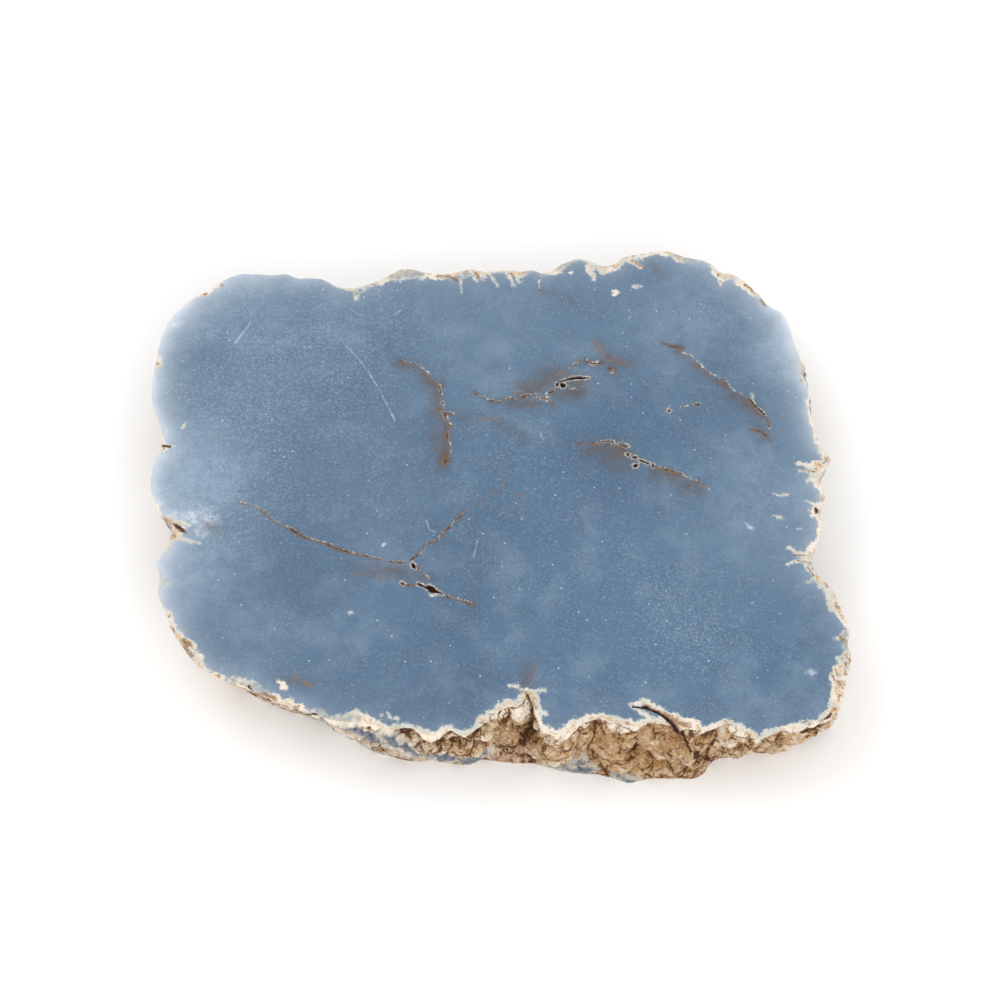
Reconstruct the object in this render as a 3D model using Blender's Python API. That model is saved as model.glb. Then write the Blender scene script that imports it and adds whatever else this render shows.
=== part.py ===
"""Blue anhydrite: one sawn slab with a polished blue face, a flat sawn base and a natural rind around the side.

Plan coordinates are millimetres on the polished face: X to the right, Y away from the viewer. Depth is counted
down from the polished face. The finished slab is moved so that the middle of its base is the origin.
"""

import math

import bmesh
import bpy
import numpy as np
from mathutils import Vector, noise

MM = 0.001

# Driving dimensions, in millimetres
THICKNESS = 18.0
COLUMN_PITCH = 1.32
WALL_LEVELS = (0.0, 0.7, 2.0, 3.6, 5.4, 7.3, 9.3, 11.4, 13.5, 15.7, 18.0)
BASE_MIDDLE_X = -0.8
BASE_MIDDLE_Y = 3.2

# The polished face's rim, read clockwise as seen from above
BACK_RIM = (
    (-75.5, 38.2), (-75.0, 41.5), (-74.3, 43.8), (-73.3, 46.1), (-71.5, 48.5), (-69.8, 50.5), (-67.5, 52.7),
    (-65.2, 53.7), (-63.3, 55.7), (-60.6, 57.4), (-57.9, 58.4), (-54.5, 58.4), (-51.0, 58.2), (-47.8, 58.4),
    (-45.3, 57.3), (-42.0, 57.3), (-39.6, 57.0), (-36.9, 55.3), (-34.2, 54.6), (-31.2, 54.9), (-28.0, 56.4),
    (-25.0, 57.9), (-22.5, 59.6), (-20.0, 59.7), (-16.5, 58.8), (-13.3, 58.3), (-10.5, 58.8), (-6.8, 59.6),
    (-3.2, 59.0), (0.6, 59.5), (4.0, 59.1), (7.5, 59.4), (9.5, 58.6), (11.6, 59.3), (13.8, 61.0), (17.2, 62.5),
    (20.0, 61.9), (23.1, 60.5), (25.3, 61.0), (28.0, 62.9), (31.5, 63.8), (35.0, 64.5), (38.2, 64.4),
    (41.3, 63.1), (45.0, 62.2), (47.5, 61.0), (49.4, 58.9), (52.4, 58.1), (55.2, 55.7), (57.6, 53.0),
)
RIGHT_RIM = (
    (60.0, 49.7), (62.5, 48.1), (64.0, 45.0), (64.8, 41.2), (65.6, 37.8), (66.6, 34.4), (66.6, 31.6),
    (67.3, 29.2), (67.9, 26.8), (67.6, 24.2), (67.9, 20.8), (68.7, 17.3), (69.4, 14.1), (70.8, 11.4),
    (71.7, 9.8), (70.6, 8.1), (69.4, 6.2), (68.8, 4.5), (69.6, 2.7), (69.8, 0.2), (69.0, -1.9), (68.2, -3.0),
    (68.9, -4.7), (68.8, -7.1), (68.0, -10.1), (66.8, -12.5), (66.3, -14.8), (67.0, -17.7), (68.7, -19.8),
    (70.4, -22.0), (71.3, -24.4), (72.1, -27.2), (73.1, -30.1), (73.4, -32.8), (72.9, -35.1), (73.5, -37.6),
    (73.0, -40.2), (72.2, -42.8), (71.8, -45.2), (71.3, -47.5), (70.5, -49.6), (69.3, -51.2),
)
FRONT_RIM = (
    (67.5, -52.4), (65.4, -53.5), (62.9, -54.3), (60.4, -54.6), (58.1, -55.0), (56.1, -55.9), (54.3, -56.9),
    (52.4, -56.6), (50.3, -55.4), (48.3, -54.5), (46.4, -53.9), (44.7, -54.4), (43.0, -55.0), (40.8, -54.8),
    (38.4, -54.6), (36.0, -54.2), (33.8, -53.6), (31.5, -53.3), (29.8, -53.3), (28.2, -53.8), (26.5, -53.8),
    (24.8, -53.5), (23.2, -52.9), (21.6, -52.3), (19.8, -52.2), (18.1, -52.8), (16.4, -53.9), (14.6, -54.9),
    (12.8, -55.7), (11.1, -55.8), (9.6, -55.0), (8.3, -53.8), (7.5, -52.0), (7.0, -50.0), (6.3, -47.9),
    (5.6, -46.9), (4.9, -48.3), (3.4, -49.3), (1.8, -49.3), (0.4, -49.9), (-0.7, -51.0), (-2.1, -51.9),
    (-3.4, -53.1), (-4.7, -54.5), (-6.1, -55.6), (-7.5, -56.1), (-8.9, -55.6), (-10.3, -54.7), (-11.6, -55.1),
    (-13.0, -56.0), (-14.5, -56.2), (-16.1, -55.3), (-17.8, -54.7), (-19.7, -54.4), (-21.8, -54.7),
    (-24.0, -54.6), (-26.3, -53.9), (-28.7, -53.4), (-31.2, -53.2), (-33.6, -52.9), (-36.1, -52.2),
    (-38.5, -51.4), (-40.7, -50.8), (-43.1, -49.7), (-45.4, -48.8), (-47.6, -47.9), (-49.6, -46.7),
    (-51.2, -45.9), (-52.9, -44.9), (-55.1, -44.2), (-57.4, -43.6), (-59.4, -42.7), (-61.3, -41.5),
)
LEFT_RIM = (
    (-63.6, -39.6), (-65.3, -37.4), (-66.8, -35.2), (-68.5, -32.6), (-69.6, -30.1), (-70.4, -27.6),
    (-71.5, -25.3), (-72.4, -22.8), (-72.2, -20.2), (-72.3, -18.0), (-73.0, -15.8), (-72.1, -13.5),
    (-70.9, -11.7), (-70.5, -9.6), (-70.2, -7.3), (-71.3, -5.7), (-72.8, -3.9), (-73.9, -1.7), (-74.8, 1.0),
    (-75.3, 4.5), (-75.1, 7.6), (-74.7, 10.1), (-73.6, 11.8), (-73.4, 13.7), (-73.3, 15.6), (-73.9, 18.0),
    (-75.0, 21.1), (-76.0, 24.2), (-76.4, 28.0), (-76.2, 31.8), (-75.9, 34.8),
)

# The base's outline, clockwise from the left. The front follows what shows below the rind, the rest is judged
BASE_OUTLINE = (
    (-70.8, 8.0), (-71.2, 18.0), (-72.9, 28.0), (-72.4, 38.0), (-69.4, 46.0), (-63.0, 52.3), (-55.0, 54.9),
    (-45.0, 54.6), (-34.0, 52.2), (-25.0, 54.8), (-15.0, 55.8), (0.0, 56.9), (12.0, 57.2), (20.0, 59.2),
    (32.0, 61.2), (41.0, 60.2), (50.0, 56.2), (57.5, 49.8), (62.0, 42.8), (64.6, 33.0), (66.0, 22.0),
    (68.0, 11.0), (67.4, 0.0), (65.8, -12.0), (68.4, -22.0), (70.9, -31.0), (71.4, -38.0), (69.8, -45.0),
    (66.9, -47.0), (63.8, -48.3), (60.2, -50.4), (55.6, -51.7), (51.3, -51.2), (48.9, -52.4), (44.9, -53.6),
    (42.7, -56.6), (39.6, -57.5), (35.5, -57.4), (31.9, -57.5), (27.8, -58.3), (23.7, -57.5), (20.1, -56.4),
    (13.9, -55.8), (8.8, -54.3), (2.6, -53.8), (-3.1, -53.2), (-7.7, -54.1), (-14.2, -53.4), (-18.5, -53.4),
    (-23.2, -52.3), (-26.8, -51.0), (-29.9, -48.9), (-33.0, -46.3), (-37.1, -44.2), (-42.2, -42.4),
    (-47.4, -40.8), (-54.1, -36.4), (-62.0, -31.4), (-66.8, -25.0), (-68.7, -16.0), (-68.4, -6.0),
)

# How far the rind swells out between face and base: (bearing in degrees from the right, millimetres)
RIND_SWELL = (
    (0.0, 1.0), (12.0, 1.2), (24.0, 1.9), (32.0, 1.0), (60.0, 0.6), (120.0, 0.6), (165.0, 0.9), (200.0, 1.0),
    (214.0, 1.4), (236.0, 1.0), (262.0, 1.2), (285.0, 1.5), (305.0, 1.0), (318.0, 1.4), (330.0, 1.4),
    (345.0, 1.2),
)

# Relief of the rind: sizes of the lumps and how far they stand out, in millimetres
COARSE_LUMP_SIZE = 6.8
COARSE_LUMP_HEIGHT = 2.9
SMALL_LUMP_SIZE = 3.4
SMALL_LUMP_HEIGHT = 1.0
LUMP_SPREAD = 0.95
LUMP_MEAN = 0.66
CREASE_WIDTH = 0.14
CREASE_SHARE = 0.3
LEDGE_PITCH = 5.2
LEDGE_REACH = 1.3
LEDGE_BEARINGS = (308.0, 328.0)
RIM_BLEND_DEPTH = 1.6

# Clefts in the front wall: (half width, how deep it cuts, its path as (plan X, depth below the face))
FRONT_CLEFTS = (
    (0.9, 1.6, ((-19.5, 0.9), (-15.0, 2.4), (-12.0, 2.9), (-10.3, 3.4), (-7.0, 2.6), (-4.0, 5.8), (-2.8, 7.4))),
    (1.9, 2.8, ((5.6, 0.0), (5.8, 4.0), (5.4, 8.0), (4.6, 11.0))),
    (1.3, 3.0, ((36.0, 0.0), (37.0, 2.0), (38.3, 4.0), (39.6, 6.2), (40.4, 9.2), (42.0, 11.8), (44.0, 14.5))),
    (0.9, 1.5, ((26.8, 8.6), (28.7, 6.6), (30.2, 8.4), (32.2, 11.0))),
    (1.1, 1.3, ((20.2, 1.6), (18.4, 7.5), (18.8, 13.0), (19.6, 16.0))),
)

# Round bosses in the front wall: (plan X, depth below the face, radius, how far it stands out)
FRONT_BOSSES = (
    (3.5, 4.2, 1.8, 1.5),
    (-3.0, 6.0, 2.2, 1.6),
    (1.2, 5.4, 1.4, 0.9),
)

# The open crack that runs from a point in the face out through the front rim
CRACK_DEPTH = 6.5
CRACK_TAPER = 0.55
CRACK_PLAN = (
    (27.5, -49.7), (29.2, -49.5), (30.3, -49.0), (30.9, -49.8), (32.4, -50.4), (33.8, -51.0), (35.3, -52.0),
    (37.0, -53.3), (39.4, -56.6), (38.0, -57.3), (35.7, -54.3), (34.4, -53.0), (33.1, -51.9), (31.7, -51.1),
    (30.1, -50.4), (28.8, -50.1),
)

# Open pits along the rusty veins of the face: (depth, plan outline)
PIT_TAPER = 0.5
FACE_PITS = (
    (2.2, ((14.0, 30.6), (15.2, 31.0), (16.4, 31.9), (17.6, 31.4), (19.2, 31.8), (20.7, 31.7), (19.4, 31.0),
           (17.8, 30.7), (16.6, 30.9), (15.2, 30.2))),
    (1.4, ((12.7, 29.0), (13.1, 29.9), (13.9, 29.6), (13.8, 28.7), (13.2, 28.3))),
    (1.6, ((18.1, 34.7), (18.9, 35.3), (19.9, 34.9), (19.2, 34.3))),
    (1.5, ((56.3, 22.8), (57.0, 22.7), (58.1, 21.6), (57.6, 21.3), (56.8, 21.9))),
    (1.8, ((24.6, 14.4), (25.6, 14.6), (27.0, 13.9), (28.4, 13.2), (27.7, 12.7), (26.3, 13.3), (25.2, 13.8))),
    (1.2, ((36.3, 22.6), (36.8, 23.1), (37.4, 22.7), (37.1, 22.1), (36.5, 22.1))),
    (1.8, ((-19.1, -15.4), (-18.5, -14.9), (-17.6, -15.3), (-17.7, -16.2), (-18.6, -16.3))),
    (2.4, ((-17.8, -20.2), (-16.4, -20.3), (-14.6, -21.2), (-12.8, -22.6), (-13.3, -23.3), (-15.0, -22.6),
           (-16.6, -21.6))),
)
CUT_CLEARANCE = 1.0

SLAB_COLOUR = (0.15, 0.23, 0.36, 1.0)
SLAB_ROUGHNESS = 0.38


def clear_objects():
    """Removes whatever the scene starts with."""
    for existing in list(bpy.data.objects):
        bpy.data.objects.remove(existing, do_unlink=True)


def closed_curve(points, steps=12):
    """Returns many points along a smooth closed curve through the given plan points."""
    anchors = np.array(points, dtype=float)
    before = np.roll(anchors, 1, axis=0)
    after = np.roll(anchors, -1, axis=0)
    beyond = np.roll(anchors, -2, axis=0)
    pieces = []
    for step in range(steps):
        t = step / steps
        pieces.append(0.5 * (
            2.0 * anchors
            + (after - before) * t
            + (2.0 * before - 5.0 * anchors + 4.0 * after - beyond) * t ** 2
            + (3.0 * anchors - before - 3.0 * after + beyond) * t ** 3
        ))
    return np.stack(pieces, axis=1).reshape(-1, 2)


def even_columns(curve, pitch):
    """Returns points spaced evenly along a closed curve, about one pitch apart."""
    loop = np.vstack([curve, curve[:1]])
    run = np.concatenate([[0.0], np.cumsum(np.linalg.norm(np.diff(loop, axis=0), axis=1))])
    count = int(round(run[-1] / pitch))
    stations = np.linspace(0.0, run[-1], count, endpoint=False)
    return np.stack([np.interp(stations, run, loop[:, 0]), np.interp(stations, run, loop[:, 1])], axis=1)


def smoothed(values, reach):
    """Returns the closed run of values averaged over reach neighbours on each side."""
    total = np.zeros_like(values)
    for shift in range(-reach, reach + 1):
        total += np.roll(values, shift, axis=0)
    return total / (2 * reach + 1)


def bearings_of(points):
    """Returns each plan point's bearing from the drawing's origin, in degrees from the right."""
    return np.degrees(np.arctan2(points[:, 1], points[:, 0])) % 360.0


def outward_of(points):
    """Returns unit vectors that point out of a clockwise outline, without its small teeth."""
    calm = smoothed(points, 6)
    along = np.roll(calm, -1, axis=0) - np.roll(calm, 1, axis=0)
    along /= np.linalg.norm(along, axis=1, keepdims=True)
    return np.stack([-along[:, 1], along[:, 0]], axis=1)


def base_points(rim):
    """Returns, for each column of the rim, the point of the base's outline at the same bearing."""
    outline = closed_curve(BASE_OUTLINE)
    bearing = bearings_of(outline)
    order = np.argsort(bearing)
    radius = np.linalg.norm(outline, axis=1)
    column_bearing = bearings_of(smoothed(rim, 2))
    reach = np.interp(column_bearing, bearing[order], radius[order], period=360.0)
    angle = np.radians(column_bearing)
    return np.stack([reach * np.cos(angle), reach * np.sin(angle)], axis=1)


def distance_to_path(x, depth, path):
    """Returns how far a point of the front wall is from a path of (plan X, depth) points."""
    nearest = math.inf
    for (x0, d0), (x1, d1) in zip(path, path[1:]):
        span = (x1 - x0, d1 - d0)
        length = span[0] ** 2 + span[1] ** 2
        t = max(0.0, min(1.0, ((x - x0) * span[0] + (depth - d0) * span[1]) / length))
        nearest = min(nearest, math.hypot(x - x0 - t * span[0], depth - d0 - t * span[1]))
    return nearest


def lump(point, size):
    """Returns the relief of rounded lumps of one size that meet in sharp creases: about 0, and 1 at most."""
    nearest, second = noise.voronoi(Vector(point) / size)[0][:2]
    dome = math.sqrt(max(0.0, 1.0 - (nearest / LUMP_SPREAD) ** 2))
    crease = math.exp(-((second - nearest) / CREASE_WIDTH) ** 2)
    return dome - LUMP_MEAN - CREASE_SHARE * crease


def ledge(x, depth, bearing):
    """Returns how far the layered ledges of the right-hand front stand out."""
    first, last = LEDGE_BEARINGS
    share = max(0.0, 1.0 - max(0.0, first - bearing, bearing - last) / 8.0)
    layer = (depth / LEDGE_PITCH + 0.35 * noise.noise(Vector((x / 14.0, 0.0, 3.0)))) % 1.0
    return share * LEDGE_REACH * (layer - 0.5)


def wall_relief(x, y, depth, bearing):
    """Returns how far the rind stands out at one point of the wall, in millimetres."""
    point = (x, y, -depth)
    relief = COARSE_LUMP_HEIGHT * lump(point, COARSE_LUMP_SIZE)
    relief += SMALL_LUMP_HEIGHT * lump(point, SMALL_LUMP_SIZE)
    relief += ledge(x, depth, bearing)
    if y < -30.0:
        for half_width, cut, path in FRONT_CLEFTS:
            off = distance_to_path(x, depth, path)
            relief -= cut * math.exp(-(off / half_width) ** 2)
        for boss_x, boss_depth, radius, height in FRONT_BOSSES:
            off = math.hypot(x - boss_x, depth - boss_depth) / radius
            relief += height * math.sqrt(max(0.0, 1.0 - off ** 2))
    return relief * min(1.0, depth / RIM_BLEND_DEPTH)


def wall_rings(rim):
    """Returns the wall as rings of points, from the polished face down to the base."""
    base = base_points(rim)
    calm_rim = smoothed(rim, 3)
    outward = outward_of(rim)
    bearing = bearings_of(rim)
    swell_bearing, swell_size = np.array(RIND_SWELL).T
    swell = np.interp(bearing, swell_bearing, swell_size, period=360.0)
    rings = []
    for depth in WALL_LEVELS:
        share = depth / THICKNESS
        teeth = (rim - calm_rim) * (1.0 - share) ** 2
        plan = calm_rim * (1.0 - share) + base * share + teeth
        plan = plan + outward * (swell * math.sin(math.pi * share ** 0.7))[:, None]
        relief = np.array([
            wall_relief(x, y, depth, angle) for (x, y), angle in zip(plan, bearing)
        ])
        rings.append(np.column_stack([plan + outward * relief[:, None], np.full(len(rim), THICKNESS - depth)]))
    return rings


def to_part_frame(points):
    """Returns drawing millimetres as metres from the middle of the base."""
    return (np.asarray(points, dtype=float) - (BASE_MIDDLE_X, BASE_MIDDLE_Y, 0.0)) * MM


def new_object(name, mesh_source, collection):
    """Makes an object from a bmesh, links it to a collection and returns it."""
    mesh = bpy.data.meshes.new(name)
    mesh_source.to_mesh(mesh)
    mesh_source.free()
    made = bpy.data.objects.new(name, mesh)
    collection.objects.link(made)
    return made


def make_slab(collection):
    """Lofts the slab from the polished face's rim, down the rind, to the base's unlike outline."""
    rim = even_columns(closed_curve(BACK_RIM + RIGHT_RIM + FRONT_RIM + LEFT_RIM), COLUMN_PITCH)
    shape = bmesh.new()
    rings = [[shape.verts.new(point) for point in to_part_frame(ring)] for ring in wall_rings(rim)]
    for upper, lower in zip(rings, rings[1:]):
        for index in range(len(upper)):
            following = (index + 1) % len(upper)
            shape.faces.new((upper[index], upper[following], lower[following], lower[index]))
    shape.faces.new(rings[0])
    shape.faces.new(rings[-1])
    bmesh.ops.triangulate(shape, faces=shape.faces[:])
    bmesh.ops.recalc_face_normals(shape, faces=shape.faces[:])
    return new_object("slab", shape, collection)


def make_cutter(name, plan, depth, taper, collection):
    """Makes a tapered prism that opens above the polished face and narrows to the given depth."""
    outline = np.array(plan, dtype=float)
    middle = outline.mean(axis=0)
    top = np.column_stack([outline, np.full(len(outline), THICKNESS + CUT_CLEARANCE)])
    shape = bmesh.new()
    mouth = shape.faces.new([shape.verts.new(point) for point in to_part_frame(top)])
    grown = bmesh.ops.extrude_face_region(shape, geom=[mouth])
    floor_verts = [item for item in grown["geom"] if isinstance(item, bmesh.types.BMVert)]
    pivot = to_part_frame([(middle[0], middle[1], 0.0)])[0]
    for vert in floor_verts:
        vert.co.x = pivot[0] + (vert.co.x - pivot[0]) * taper
        vert.co.y = pivot[1] + (vert.co.y - pivot[1]) * taper
        vert.co.z = (THICKNESS - depth) * MM
    bmesh.ops.recalc_face_normals(shape, faces=shape.faces[:])
    cutter = new_object(name, shape, collection)
    cutter.hide_render = True
    cutter.display_type = "WIRE"
    return cutter


def cut(target, cutter):
    """Cuts one solid out of another and applies the result."""
    modifier = target.modifiers.new(cutter.name, "BOOLEAN")
    modifier.operation = "DIFFERENCE"
    modifier.solver = "EXACT"
    modifier.object = cutter
    bpy.context.view_layer.objects.active = target
    bpy.ops.object.modifier_apply(modifier=modifier.name)


def tidy(target):
    """Joins points that coincide and leaves only triangles."""
    shape = bmesh.new()
    shape.from_mesh(target.data)
    bmesh.ops.remove_doubles(shape, verts=shape.verts[:], dist=0.00001)
    bmesh.ops.triangulate(shape, faces=shape.faces[:])
    bmesh.ops.recalc_face_normals(shape, faces=shape.faces[:])
    shape.to_mesh(target.data)
    shape.free()


def give_material(target):
    """Gives the slab the dull polish and the grey blue of the stone."""
    material = bpy.data.materials.new("blue_anhydrite")
    material.use_nodes = True
    shader = material.node_tree.nodes["Principled BSDF"]
    shader.inputs["Base Color"].default_value = SLAB_COLOUR
    shader.inputs["Roughness"].default_value = SLAB_ROUGHNESS
    shader.inputs["Metallic"].default_value = 0.0
    target.data.materials.append(material)


def main():
    """Builds the slab, cuts its crack and pits, and gives it its material."""
    clear_objects()
    parts = bpy.data.collections.new("blue_anhydrite")
    cutters = bpy.data.collections.new("cutters")
    bpy.context.scene.collection.children.link(parts)
    bpy.context.scene.collection.children.link(cutters)

    slab = make_slab(parts)
    cut(slab, make_cutter("crack", CRACK_PLAN, CRACK_DEPTH, CRACK_TAPER, cutters))
    for number, (depth, plan) in enumerate(FACE_PITS, start=1):
        cut(slab, make_cutter(f"pit_{number}", plan, depth, PIT_TAPER, cutters))
    tidy(slab)
    give_material(slab)


main()
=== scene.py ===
"""Blue anhydrite slab: a polished blue face, a sawn base and a natural cream rind with rusty clefts.

Plan coordinates are millimetres on the polished face: X to the right, Y away from the viewer. Depth is
counted down from the polished face. The finished mesh is in metres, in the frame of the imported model.
"""

from __future__ import annotations

import logging
import math
from dataclasses import dataclass
from enum import Enum

import bpy
import numpy as np
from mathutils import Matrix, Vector, noise
from mathutils.geometry import delaunay_2d_cdt


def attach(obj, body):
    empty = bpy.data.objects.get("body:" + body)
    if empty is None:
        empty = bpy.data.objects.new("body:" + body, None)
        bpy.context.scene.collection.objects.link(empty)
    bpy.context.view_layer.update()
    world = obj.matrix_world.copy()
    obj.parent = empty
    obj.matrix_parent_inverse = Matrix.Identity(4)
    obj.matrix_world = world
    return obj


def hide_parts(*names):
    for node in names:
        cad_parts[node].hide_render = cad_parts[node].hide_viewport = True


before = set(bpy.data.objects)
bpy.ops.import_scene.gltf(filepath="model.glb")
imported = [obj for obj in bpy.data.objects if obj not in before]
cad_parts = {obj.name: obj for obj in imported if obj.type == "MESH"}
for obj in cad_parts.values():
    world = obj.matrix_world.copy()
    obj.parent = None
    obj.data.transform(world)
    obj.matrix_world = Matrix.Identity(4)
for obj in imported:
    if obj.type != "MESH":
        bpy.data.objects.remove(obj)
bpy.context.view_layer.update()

LOG = logging.getLogger("blue_anhydrite")

# Metres in a millimetre
MM = 0.001
THICKNESS = 18.0
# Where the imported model's origin lies on the drawing of the polished face
PLAN_MIDDLE = (-0.8, 3.2)
# The part of the side that the photograph shows lies nearer than this Y
FRONT_Y = -30.0
# What a signed distance says where a seam, rind or bare place is nowhere near
NOWHERE = -2.0

Path = tuple[tuple[float, float], ...]

# The polished face's rim, clockwise from above: (X, Y, how far the cream rind reaches in from the rim)
BACK_RIM = (
    (-75.5, 38.2, 0.2), (-75.0, 41.5, 0.0), (-74.3, 43.8, 0.0), (-73.3, 46.1, 0.0), (-71.5, 48.5, 0.0),
    (-69.8, 50.5, 0.0), (-67.5, 52.7, 0.5), (-65.2, 53.7, 0.7), (-63.3, 55.7, 0.8), (-60.6, 57.4, 0.3),
    (-57.9, 58.4, 0.0), (-54.5, 58.4, 0.0), (-51.0, 58.2, 0.0), (-47.8, 58.4, 0.0), (-45.3, 57.3, 0.0),
    (-42.0, 57.3, 0.0), (-39.6, 57.0, 0.0), (-36.9, 55.3, 0.1), (-34.2, 54.6, 0.9), (-31.2, 54.9, 1.1),
    (-28.0, 56.4, 1.0), (-25.0, 57.9, 1.7), (-22.5, 59.6, 2.8), (-20.0, 59.7, 2.6), (-16.5, 58.8, 1.8),
    (-13.3, 58.3, 1.3), (-10.5, 58.8, 1.6), (-6.8, 59.6, 1.8), (-3.2, 59.0, 1.6), (0.6, 59.5, 0.7),
    (4.0, 59.1, 1.8), (7.5, 59.4, 0.5), (9.5, 58.6, 0.5), (11.6, 59.3, 1.2), (13.8, 61.0, 1.6),
    (17.2, 62.5, 0.5), (20.0, 61.9, 0.8), (23.1, 60.5, 2.0), (25.3, 61.0, 1.8), (28.0, 62.9, 1.6),
    (31.5, 63.8, 1.6), (35.0, 64.5, 0.6), (38.2, 64.4, 1.5), (41.3, 63.1, 1.6), (45.0, 62.2, 0.5),
    (47.5, 61.0, 0.6), (49.4, 58.9, 2.0), (52.4, 58.1, 1.6), (55.2, 55.7, 1.7), (57.6, 53.0, 1.2),
)
RIGHT_RIM = (
    (60.0, 49.7, 0.3), (62.5, 48.1, 0.0), (64.0, 45.0, 0.0), (64.8, 41.2, 0.0), (65.6, 37.8, 0.3),
    (66.6, 34.4, 0.9), (66.6, 31.6, 1.0), (67.3, 29.2, 0.6), (67.9, 26.8, 0.6), (67.6, 24.2, 0.7),
    (67.9, 20.8, 0.7), (68.7, 17.3, 0.8), (69.4, 14.1, 0.8), (70.8, 11.4, 1.2), (71.7, 9.8, 2.5),
    (70.6, 8.1, 3.5), (69.4, 6.2, 2.5), (68.8, 4.5, 1.8), (69.6, 2.7, 1.3), (69.8, 0.2, 1.3),
    (69.0, -1.9, 1.6), (68.2, -3.0, 1.8), (68.9, -4.7, 1.2), (68.8, -7.1, 1.0), (68.0, -10.1, 1.2),
    (66.8, -12.5, 1.6), (66.3, -14.8, 1.6), (67.0, -17.7, 1.5), (68.7, -19.8, 2.0), (70.4, -22.0, 1.8),
    (71.3, -24.4, 2.3), (72.1, -27.2, 2.0), (73.1, -30.1, 0.6), (73.4, -32.8, 1.8), (72.9, -35.1, 0.9),
    (73.5, -37.6, 2.6), (73.0, -40.2, 3.0), (72.2, -42.8, 3.7), (71.8, -45.2, 3.1), (71.3, -47.5, 2.8),
    (70.5, -49.6, 2.4), (69.3, -51.2, 2.2),
)
FRONT_RIM = (
    (67.5, -52.4, 1.7), (65.4, -53.5, 1.4), (62.9, -54.3, 1.4), (60.4, -54.6, 1.1), (58.1, -55.0, 1.2),
    (56.1, -55.9, 1.5), (54.3, -56.9, 1.4), (52.4, -56.6, 1.4), (50.3, -55.4, 1.4), (48.3, -54.5, 1.6),
    (46.4, -53.9, 1.5), (44.7, -54.4, 1.4), (43.0, -55.0, 1.1), (40.8, -54.8, 2.1), (38.4, -54.6, 2.0),
    (36.0, -54.2, 2.6), (33.8, -53.6, 2.0), (31.5, -53.3, 1.4), (29.8, -53.3, 1.2), (28.2, -53.8, 1.3),
    (26.5, -53.8, 1.6), (24.8, -53.5, 1.5), (23.2, -52.9, 1.4), (21.6, -52.3, 1.2), (19.8, -52.2, 1.2),
    (18.1, -52.8, 1.5), (16.4, -53.9, 2.0), (14.6, -54.9, 1.8), (12.8, -55.7, 1.3), (11.1, -55.8, 1.1),
    (9.6, -55.0, 1.2), (8.3, -53.8, 1.0), (7.5, -52.0, 1.1), (7.0, -50.0, 1.8), (6.3, -47.9, 2.0),
    (5.6, -46.9, 2.0), (4.9, -48.3, 1.4), (3.4, -49.3, 1.4), (1.8, -49.3, 1.7), (0.4, -49.9, 1.7),
    (-0.7, -51.0, 1.6), (-2.1, -51.9, 1.3), (-3.4, -53.1, 1.6), (-4.7, -54.5, 1.4), (-6.1, -55.6, 1.2),
    (-7.5, -56.1, 0.9), (-8.9, -55.6, 0.9), (-10.3, -54.7, 1.1), (-11.6, -55.1, 1.0), (-13.0, -56.0, 0.9),
    (-14.5, -56.2, 0.9), (-16.1, -55.3, 1.1), (-17.8, -54.7, 1.0), (-19.7, -54.4, 1.1), (-21.8, -54.7, 1.4),
    (-24.0, -54.6, 1.2), (-26.3, -53.9, 1.8), (-28.7, -53.4, 2.8), (-31.2, -53.2, 2.6), (-33.6, -52.9, 1.6),
    (-36.1, -52.2, 1.0), (-38.5, -51.4, 1.4), (-40.7, -50.8, 1.4), (-43.1, -49.7, 1.7), (-45.4, -48.8, 1.6),
    (-47.6, -47.9, 1.3), (-49.6, -46.7, 1.3), (-51.2, -45.9, 1.4), (-52.9, -44.9, 1.8), (-55.1, -44.2, 1.6),
    (-57.4, -43.6, 1.5), (-59.4, -42.7, 1.2), (-61.3, -41.5, 1.0),
)
LEFT_RIM = (
    (-63.6, -39.6, 2.0), (-65.3, -37.4, 2.4), (-66.8, -35.2, 2.6), (-68.5, -32.6, 1.6), (-69.6, -30.1, 1.2),
    (-70.4, -27.6, 1.1), (-71.5, -25.3, 0.6), (-72.4, -22.8, 0.1), (-72.2, -20.2, 1.0), (-72.3, -18.0, 0.3),
    (-73.0, -15.8, 0.1), (-72.1, -13.5, 0.4), (-70.9, -11.7, 0.7), (-70.5, -9.6, 1.6), (-70.2, -7.3, 3.0),
    (-71.3, -5.7, 1.8), (-72.8, -3.9, 1.0), (-73.9, -1.7, 0.8), (-74.8, 1.0, 0.3), (-75.3, 4.5, 0.1),
    (-75.1, 7.6, 0.1), (-74.7, 10.1, 0.1), (-73.6, 11.8, 0.4), (-73.4, 13.7, 1.5), (-73.3, 15.6, 0.6),
    (-73.9, 18.0, 0.4), (-75.0, 21.1, 0.2), (-76.0, 24.2, 0.0), (-76.4, 28.0, 0.0), (-76.2, 31.8, 0.1),
    (-75.9, 34.8, 1.5),
)

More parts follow.
